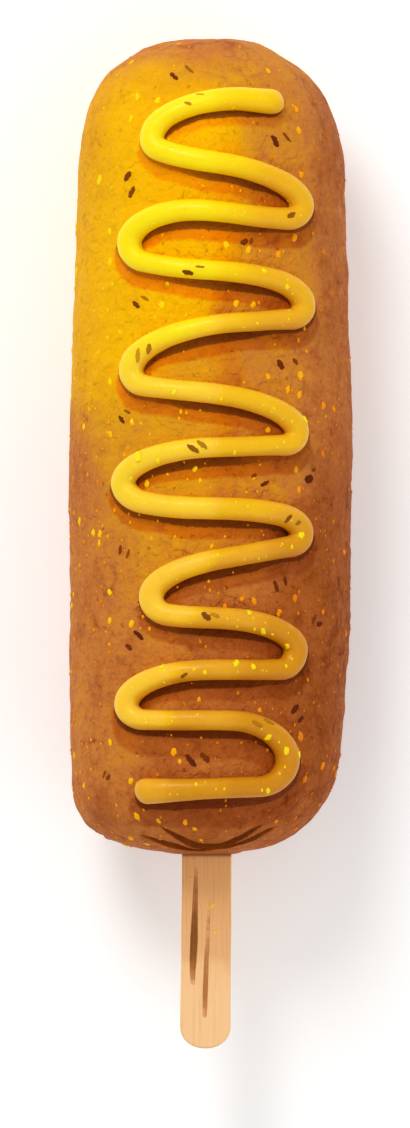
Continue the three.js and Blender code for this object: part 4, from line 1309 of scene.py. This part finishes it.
def crust_material():
    m = Nodes("fried_crust")
    tone = m.attr("tone")
    mottle = m.noise(190, 4, 0.62)          # patches of about 5 mm
    fine = m.noise(1150, 5, 0.62)           # crumb of about 1 mm
    grit = m.noise(3800, 2, 0.6)
    # small bubbles that burst and set, each a low dome with a darker rim
    warp = m.tree.nodes.new("ShaderNodeTexNoise")
    warp.inputs["Scale"].default_value = 420
    m.link(m.coord, warp.inputs["Vector"])
    bent = m.tree.nodes.new("ShaderNodeMixRGB")
    bent.blend_type = "LINEAR_LIGHT"
    bent.inputs[0].default_value = 0.0011
    m.link(m.coord, bent.inputs[1])
    m.link(warp.outputs["Color"], bent.inputs[2])
    bubble = m.cells(430, vector=bent.outputs[0])
    small = m.cells(980, vector=bent.outputs[0])
    domes = m.math("SUBTRACT", 1.0, m.math("MULTIPLY", bubble, m.math("MULTIPLY", bubble, 1.9)))
    beads = m.math("SUBTRACT", 1.0, m.math("MULTIPLY", small, m.math("MULTIPLY", small, 1.9)))
    puffy = m.span(m.noise(150, 2), 0.40, 0.62)
    # the gold is more even than the brown
    uneven = m.span(tone, 0.05, 0.45, 0.34, 1.0)
    vary = m.math("MULTIPLY", m.math("SUBTRACT", mottle, 0.5), 0.28)
    vary = m.math("ADD", vary, m.math("MULTIPLY", m.math("SUBTRACT", fine, 0.5), 0.36))
    vary = m.math("ADD", vary, m.math("MULTIPLY", m.math("SUBTRACT", grit, 0.5), 0.18))
    vary = m.math("ADD", vary, m.math("MULTIPLY", m.math("SUBTRACT", 0.62, domes), m.math("MULTIPLY", puffy, 0.12)))
    t = m.math("ADD", tone, m.math("MULTIPLY", vary, uneven))
    col = m.ramp(t, CRUST_RAMP)
    # painted shade: the hollows of the crumb are darker and more orange than its crests
    hollow = m.span(fine, 0.36, 0.50, 0.55, 0.0)
    col = m.mix(hollow, col, m.mix(1.0, col, (1.0, 0.84, 0.55, 1), "MULTIPLY"))
    # open pores: small dark points, painted shade in these hollows
    cell = m.tree.nodes.new("ShaderNodeTexVoronoi")
    cell.inputs["Scale"].default_value = 620
    torn = m.tree.nodes.new("ShaderNodeMixRGB")
    torn.blend_type = "LINEAR_LIGHT"
    torn.inputs[0].default_value = 0.0006
    m.link(m.coord, torn.inputs[1])
    tear = m.tree.nodes.new("ShaderNodeTexNoise")
    tear.inputs["Scale"].default_value = 1500
    m.link(m.coord, tear.inputs["Vector"])
    m.link(tear.outputs["Color"], torn.inputs[2])
    m.link(torn.outputs[0], cell.inputs["Vector"])
    chance = m.tree.nodes.new("ShaderNodeSeparateXYZ")
    m.link(cell.outputs["Color"], chance.inputs[0])
    far = m.math("SUBTRACT", cell.outputs["Distance"], m.math("MULTIPLY", chance.outputs[0], 0.24))
    pores = m.span(far, -0.06, 0.07, 1.0, 0.0)
    pore_mask = m.math("MULTIPLY", pores, m.span(m.noise(260, 2), 0.46, 0.60))
    marked = m.span(tone, 0.05, 0.50, 0.20, 0.60)
    col = m.mix(m.math("MULTIPLY", pore_mask, marked), col, m.mix(1.0, col, (0.66, 0.38, 0.16, 1), "MULTIPLY"))
    # painted shade in the pits as well
    col = m.mix(m.math("MULTIPLY", m.attr("pit"), marked), col, m.mix(1.0, col, (0.70, 0.42, 0.18, 1), "MULTIPLY"))
    col = m.mix(m.math("MULTIPLY", m.attr("border"), 0.75), col, m.mix(1.0, col, (0.97, 0.76, 0.40, 1), "MULTIPLY"))
    # painted shadow below the mustard: a wide orange-brown band where its shadow falls, and a dark line right against
    # it
    ragged = m.math("SUBTRACT", fine, 0.5)
    shadow_band = m.span(m.math("ADD", m.attr("shadow_band"), m.math("MULTIPLY", ragged, 0.9)), -0.40, 0.40, 1.0, 0.0)
    band_shade_tint = m.ramp(tone, [(0.0, (0.96, 0.53, 0.30, 1)), (0.25, (0.87, 0.51, 0.30, 1)), (0.45, (0.84, 0.54, 0.32, 1)),
                          (0.65, (0.77, 0.61, 0.50, 1)), (0.85, (0.84, 0.70, 0.60, 1))])
    shadow_band = m.math("MULTIPLY", shadow_band, m.math("SUBTRACT", 1.0, m.attr("faint")))
    col = m.mix(shadow_band, col, m.mix(1.0, col, band_shade_tint, "MULTIPLY"))
    # painted shadow: the dark line right against the mustard
    shadow_line = m.span(m.math("ADD", m.attr("shadow_line"), m.math("MULTIPLY", ragged, 0.7)), -0.16, 0.16, 0.93, 0.0)
    line_shade_colour = m.ramp(tone, [(0.0, "#94520C"), (0.25, "#82420A"), (0.5, "#743409"), (0.7, "#6C2A08")])
    col = m.mix(m.math("MULTIPLY", shadow_line, m.math("SUBTRACT", 1.0, m.math("MULTIPLY", m.attr("pale"), 0.7))), col, line_shade_colour)
    # painted shade: the creases are coloured as dark brown lines
    crease = m.span(m.math("ADD", m.attr("crease"), m.math("MULTIPLY", ragged, 0.5)), -0.12, 0.12, 0.95, 0.0)
    col = m.mix(crease, col, m.mix(m.span(mottle, 0.35, 0.65), "#6C2804", "#7C3A08"))
    # painted shade: dark inside the pocket round the stick
    col = m.mix(m.math("MULTIPLY", m.attr("inside"), 0.8), col, "#4A2410")
    m.link(col, m.bsdf.inputs["Base Color"])
    rough = m.span(fine, 0.3, 0.7, 0.54, 0.76)
    m.link(m.math("SUBTRACT", rough, m.math("MULTIPLY", shadow_line, 0.14)), m.bsdf.inputs["Roughness"])
    m.bsdf.inputs["Specular IOR Level"].default_value = 0.07
    m.bsdf.inputs["Specular Tint"].default_value = (1.0, 0.78, 0.38, 1)
    n1 = m.bump(m.noise(560, 3, 0.55), 0.00060, 0.65)
    n2 = m.bump(m.math("MULTIPLY", domes, puffy), 0.00042, 0.6, n1)
    n3 = m.bump(beads, 0.00018, 0.7, n2)
    n4 = m.bump(fine, 0.00034, 0.55, n3)
    n5 = m.bump(m.math("MULTIPLY", pore_mask, -1.0), 0.00022, 0.9, n4)
    n6 = m.bump(grit, 0.00007, 0.6, n5)
    m.link(n6, m.bsdf.inputs["Normal"])
    return m.mat


# colours of the mustard's tone, which is painted shade; the second set is used towards the butt
MUSTARD_RAMP = [(0.0, "#FFE606"), (0.20, "#FFDA02"), (0.32, "#FACA06"), (0.44, "#F6C006"), (0.54, "#F3B614"),
                (0.65, "#ECAC18"), (0.80, "#DC9712"), (1.0, "#CF7F0A")]
BUTT_SIDE_RAMP = [(0.0, "#FFE018"), (0.16, "#FFD42C"), (0.31, "#FFC534"), (0.44, "#F5BF12"), (0.55, "#F1B512"),
               (0.62, "#EBA820"), (0.72, "#E39E1C"), (0.85, "#DA940C"), (1.0, "#D0820A")]


def mustard_material():
    m = Nodes("mustard")
    tone = m.attr("tone")
    # painted shade on the bead's side that faces the butt
    low = m.span(m.attr("low"), 0.10, 0.95)
    t = m.math("ADD", tone, m.math("MULTIPLY", low, 0.15))
    t = m.math("ADD", t, m.math("MULTIPLY", m.math("SUBTRACT", m.noise(420, 3), 0.5), 0.12))
    t = m.math("ADD", t, m.math("MULTIPLY", m.math("SUBTRACT", m.noise(1500, 3), 0.5), 0.10))
    col = m.mix(m.attr("butt_side"), m.ramp(t, MUSTARD_RAMP), m.ramp(t, BUTT_SIDE_RAMP))
    # ground seed in the mustard: fine specks
    specks = m.math("MULTIPLY", m.span(m.cells(2300), 0.10, 0.22, 1.0, 0.0), m.span(m.noise(900, 1), 0.54, 0.62))
    col = m.mix(m.math("MULTIPLY", specks, 0.35), col, "#B5790A")
    # it thins to a deeper colour where it meets the crust, partly as the crust shows through and partly painted shade,
    # most on the side that faces the butt
    rim = m.span(m.attr("rim"), 0.35, 1.0, 0.0, 0.75)
    col = m.mix(rim, col, m.mix(1.0, col, (0.78, 0.52, 0.20, 1), "MULTIPLY"))
    m.link(col, m.bsdf.inputs["Base Color"])
    m.link(m.span(m.noise(900, 2), 0.35, 0.65, 0.30, 0.44), m.bsdf.inputs["Roughness"])
    m.bsdf.inputs["Subsurface Weight"].default_value = 0.18
    m.bsdf.inputs["Subsurface Radius"].default_value = (1.0, 0.6, 0.12)
    m.bsdf.inputs["Subsurface Scale"].default_value = 0.0012
    m.bsdf.inputs["Specular IOR Level"].default_value = 0.30
    m.bsdf.inputs["Specular Tint"].default_value = (1.0, 0.88, 0.50, 1)
    n1 = m.bump(m.noise(700, 2, 0.5), 0.00012, 0.5)
    n2 = m.bump(specks, 0.00004, 0.6, n1)
    m.link(m.bump(m.noise(2600, 2, 0.5), 0.00003, 0.5, n2), m.bsdf.inputs["Normal"])
    return m.mat


def wood_material():
    m = Nodes("birch_stick")
    below = m.attr("below")
    grain = m.noise(1.0, 4, 0.6, vector=m.mapped((2600, 60, 900)))
    fibre = m.noise(1.0, 3, 0.6, vector=m.mapped((7000, 170, 2600)))
    wave = m.math("MULTIPLY", m.math("SUBTRACT", m.noise(210, 3), 0.5), 5.0)
    # it creeps further along some fibres
    wave = m.math("ADD", wave, m.math("MULTIPLY", m.math("SUBTRACT", grain, 0.5), 7.0))
    b = m.math("ADD", below, wave)
    # the first 20 mm below the crust are a little darker, with a wandering edge: partly fat soaked into the wood,
    # partly painted shadow of the crust
    lin = m.tree.nodes.new("ShaderNodeMapRange")
    m.link(b, lin.inputs["Value"])
    lin.inputs["From Max"].default_value = 26.0
    col = m.ramp(lin.outputs[0], [(0.0, "#FFC07C"), (0.30, "#FDBE7A"), (0.42, "#F8BC7C"), (0.60, "#F3B87D"),
                                  (0.74, "#F1B87D"), (0.83, "#FCC98E"), (1.0, "#FFCE95")])
    col = m.mix(m.span(grain, 0.46, 0.72, 0.0, 0.45), col, m.mix(1.0, col, (0.80, 0.66, 0.50, 1), "MULTIPLY"))
    col = m.mix(m.span(fibre, 0.5, 0.75, 0.0, 0.35), col, m.mix(1.0, col, (0.84, 0.72, 0.58, 1), "MULTIPLY"))
    # the two splits hold dark, fat-soaked wood
    split = m.attr("split")
    rough_edge = m.math("ADD", split, m.math("MULTIPLY", m.math("SUBTRACT", fibre, 0.5), 0.55))
    deep = m.math("ADD", m.attr("deep"), m.math("MULTIPLY", m.math("SUBTRACT", fibre, 0.5), 0.7))
    deep = m.math("ADD", deep, m.math("MULTIPLY", m.math("SUBTRACT", m.noise(900, 3), 0.5), 0.5))
    stained = m.ramp(deep, [(0.0, "#DC9A5E"), (0.22, "#C8844C"), (0.45, "#B8743A"), (0.72, "#9A5A18"), (1.0, "#7E4206")])
    col = m.mix(m.math("MULTIPLY", m.span(rough_edge, 0.18, 0.50), m.span(deep, -0.20, 0.24, 0.0, 0.95)), col, stained)
    # painted shadow: a fine dark line where the crust grips the stick
    col = m.mix(m.span(below, 1.1, 0.35, 0.0, 0.85), col, "#7A3C16")
    m.link(col, m.bsdf.inputs["Base Color"])
    m.link(m.span(grain, 0.3, 0.7, 0.55, 0.74), m.bsdf.inputs["Roughness"])
    m.bsdf.inputs["Specular IOR Level"].default_value = 0.2
    n1 = m.bump(grain, 0.00010, 0.6)
    m.link(m.bump(fibre, 0.00005, 0.6, n1), m.bsdf.inputs["Normal"])
    return m.mat


def grain_material(name, stops, roughness, gloss):
    m = Nodes(name)
    t = m.math("ADD", m.attr("kind"), m.math("MULTIPLY", m.math("SUBTRACT", m.noise(1800, 2), 0.5), 0.25))
    m.link(m.ramp(t, stops), m.bsdf.inputs["Base Color"])
    m.link(m.span(m.noise(2500, 2), 0.35, 0.65, roughness - 0.08, roughness + 0.08), m.bsdf.inputs["Roughness"])
    m.bsdf.inputs["Specular IOR Level"].default_value = gloss
    m.link(m.bump(m.noise(4200, 3), 0.00005, 0.6), m.bsdf.inputs["Normal"])
    return m.mat


# ------------------------------------------------------------------ build
crust = build_crust()
crust.data.materials.append(crust_material())
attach(crust, "root")
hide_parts("batter")

CRUST_TREE = mesh_tree(crust)
MUSTARD = build_mustard()
MUSTARD.data.materials.append(mustard_material())
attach(MUSTARD, "root")
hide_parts("mustard")

stick = build_stick()
stick.data.materials.append(wood_material())
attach(stick, "root")
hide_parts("stick")

cornmeal = grain_material("cornmeal", [(0.0, "#FFDE00"), (0.25, "#FFD200"), (0.42, "#FFC600"), (0.6, "#FFB200"), (0.75, "#FFA200"), (0.9, "#FA9000"), (1.0, "#EA8202")], 0.60, 0.08)
cornmeal_wet = grain_material("cornmeal_on_mustard", [(0.0, "#FFEE12"), (0.5, "#FFE600"), (1.0, "#FFDE04")], 0.42, 0.14)
toast = grain_material("toasted", [(0.0, "#62230A"), (0.35, "#77350A"), (0.6, "#87430C"), (0.8, "#98580A"), (1.0, "#B2740E")], 0.75, 0.05)
toast_wet = grain_material("toasted_on_mustard", [(0.0, "#74360A"), (0.35, "#8A4A0A"), (0.6, "#A2650C"), (1.0, "#D2960E")], 0.65, 0.08)
crumb_dry = grain_material("crumb_dry", [(0.0, "#FFD67C"), (0.5, "#FFCE5C"), (1.0, "#FFBE3A")], 0.70, 0.08)
for g in build_grains():
    g.data.materials.append(cornmeal_wet if "mustard" in g.name else crumb_dry if "stick" in g.name else cornmeal)
    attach(g, "root")
for g in build_flakes():
    g.data.materials.append(toast_wet if "mustard" in g.name else toast)
    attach(g, "root")

# ------------------------------------------------------------------ stage, light, camera
floor_mesh = bpy.data.meshes.new("floor")
floor_mesh.from_pydata([(-4, -4, -0.00005), (4, -4, -0.00005), (4, 4, -0.00005), (-4, 4, -0.00005)], [], [(0, 1, 2, 3)])
floor = bpy.data.objects.new("floor", floor_mesh)
scene.collection.objects.link(floor)
fm = bpy.data.materials.new("floor")
fm.use_nodes = True
fb = fm.node_tree.nodes["Principled BSDF"]
fb.inputs["Base Color"].default_value = (0.93, 0.93, 0.925, 1)
fb.inputs["Roughness"].default_value = 0.9
fb.inputs["Specular IOR Level"].default_value = 0.1
fb.inputs["Emission Color"].default_value = (1, 1, 1, 1)
fb.inputs["Emission Strength"].default_value = 0.22
floor.data.materials.append(fm)

world = bpy.data.worlds.new("studio")
world.use_nodes = True
wt = world.node_tree
sky = wt.nodes["Background"]
sky_coord = wt.nodes.new("ShaderNodeTexCoord")
sky_split = wt.nodes.new("ShaderNodeSeparateXYZ")
sky_ramp = wt.nodes.new("ShaderNodeValToRGB")
wt.links.new(sky_coord.outputs["Generated"], sky_split.inputs[0])
wt.links.new(sky_split.outputs["Z"], sky_ramp.inputs[0])
wt.links.new(sky_ramp.outputs[0], sky.inputs["Color"])
# white at the horizon and below it, softer light from above
sky_ramp.color_ramp.elements[0].position = 0.01
sky_ramp.color_ramp.elements[0].color = (1.0, 1.0, 1.0, 1)
sky_ramp.color_ramp.elements[1].position = 0.10
sky_ramp.color_ramp.elements[1].color = (0.56, 0.56, 0.56, 1)
sky.inputs["Strength"].default_value = 1.0
scene.world = world
scene.view_settings.view_transform = "Standard"


def softbox(name, at, aim, size, power, colour=(1, 1, 1)):
    light = bpy.data.lights.new(name, "AREA")
    light.shape = "DISK"
    light.size = size
    light.energy = power
    light.color = colour
    o = bpy.data.objects.new(name, light)
    o.location = at
    o.rotation_euler = (Vector(aim) - Vector(at)).to_track_quat("-Z", "Y").to_euler()
    scene.collection.objects.link(o)
    return o


middle = Vector((0, 0.0, 0.03))
softbox("key", (-0.36, 0.80, 1.02), middle, 0.55, 8.0, (1.0, 0.985, 0.96))
softbox("fill", (0.78, -0.66, 0.9), middle, 1.1, 2.9)

# straight down, a long lens, framed as the picture: pixel (205, 564) is the middle of the view
LENS, SENSOR = 600.0, 36.0
frame_h = 1128 * 9.5 / 51 * MM
dist = LENS * frame_h / SENSOR
cam = bpy.data.cameras.new("camera")
cam.type = "PERSP"
cam.lens = LENS
cam.sensor_width = SENSOR
cam.sensor_fit = "AUTO"
cam.clip_start = 0.05
cam.clip_end = 20
co = bpy.data.objects.new("camera", cam)
centre = put(np.array([(205 - 210) * 9.5 / 51, (564 - 37) * 9.5 / 51, AXIS_HEIGHT + 12.0]))
co.location = (centre[0], centre[1], centre[2] + dist)
co.rotation_euler = (0, 0, 0)
scene.collection.objects.link(co)
scene.camera = co


def plain(b):
    return [[float(c) for c in p] for p in b]
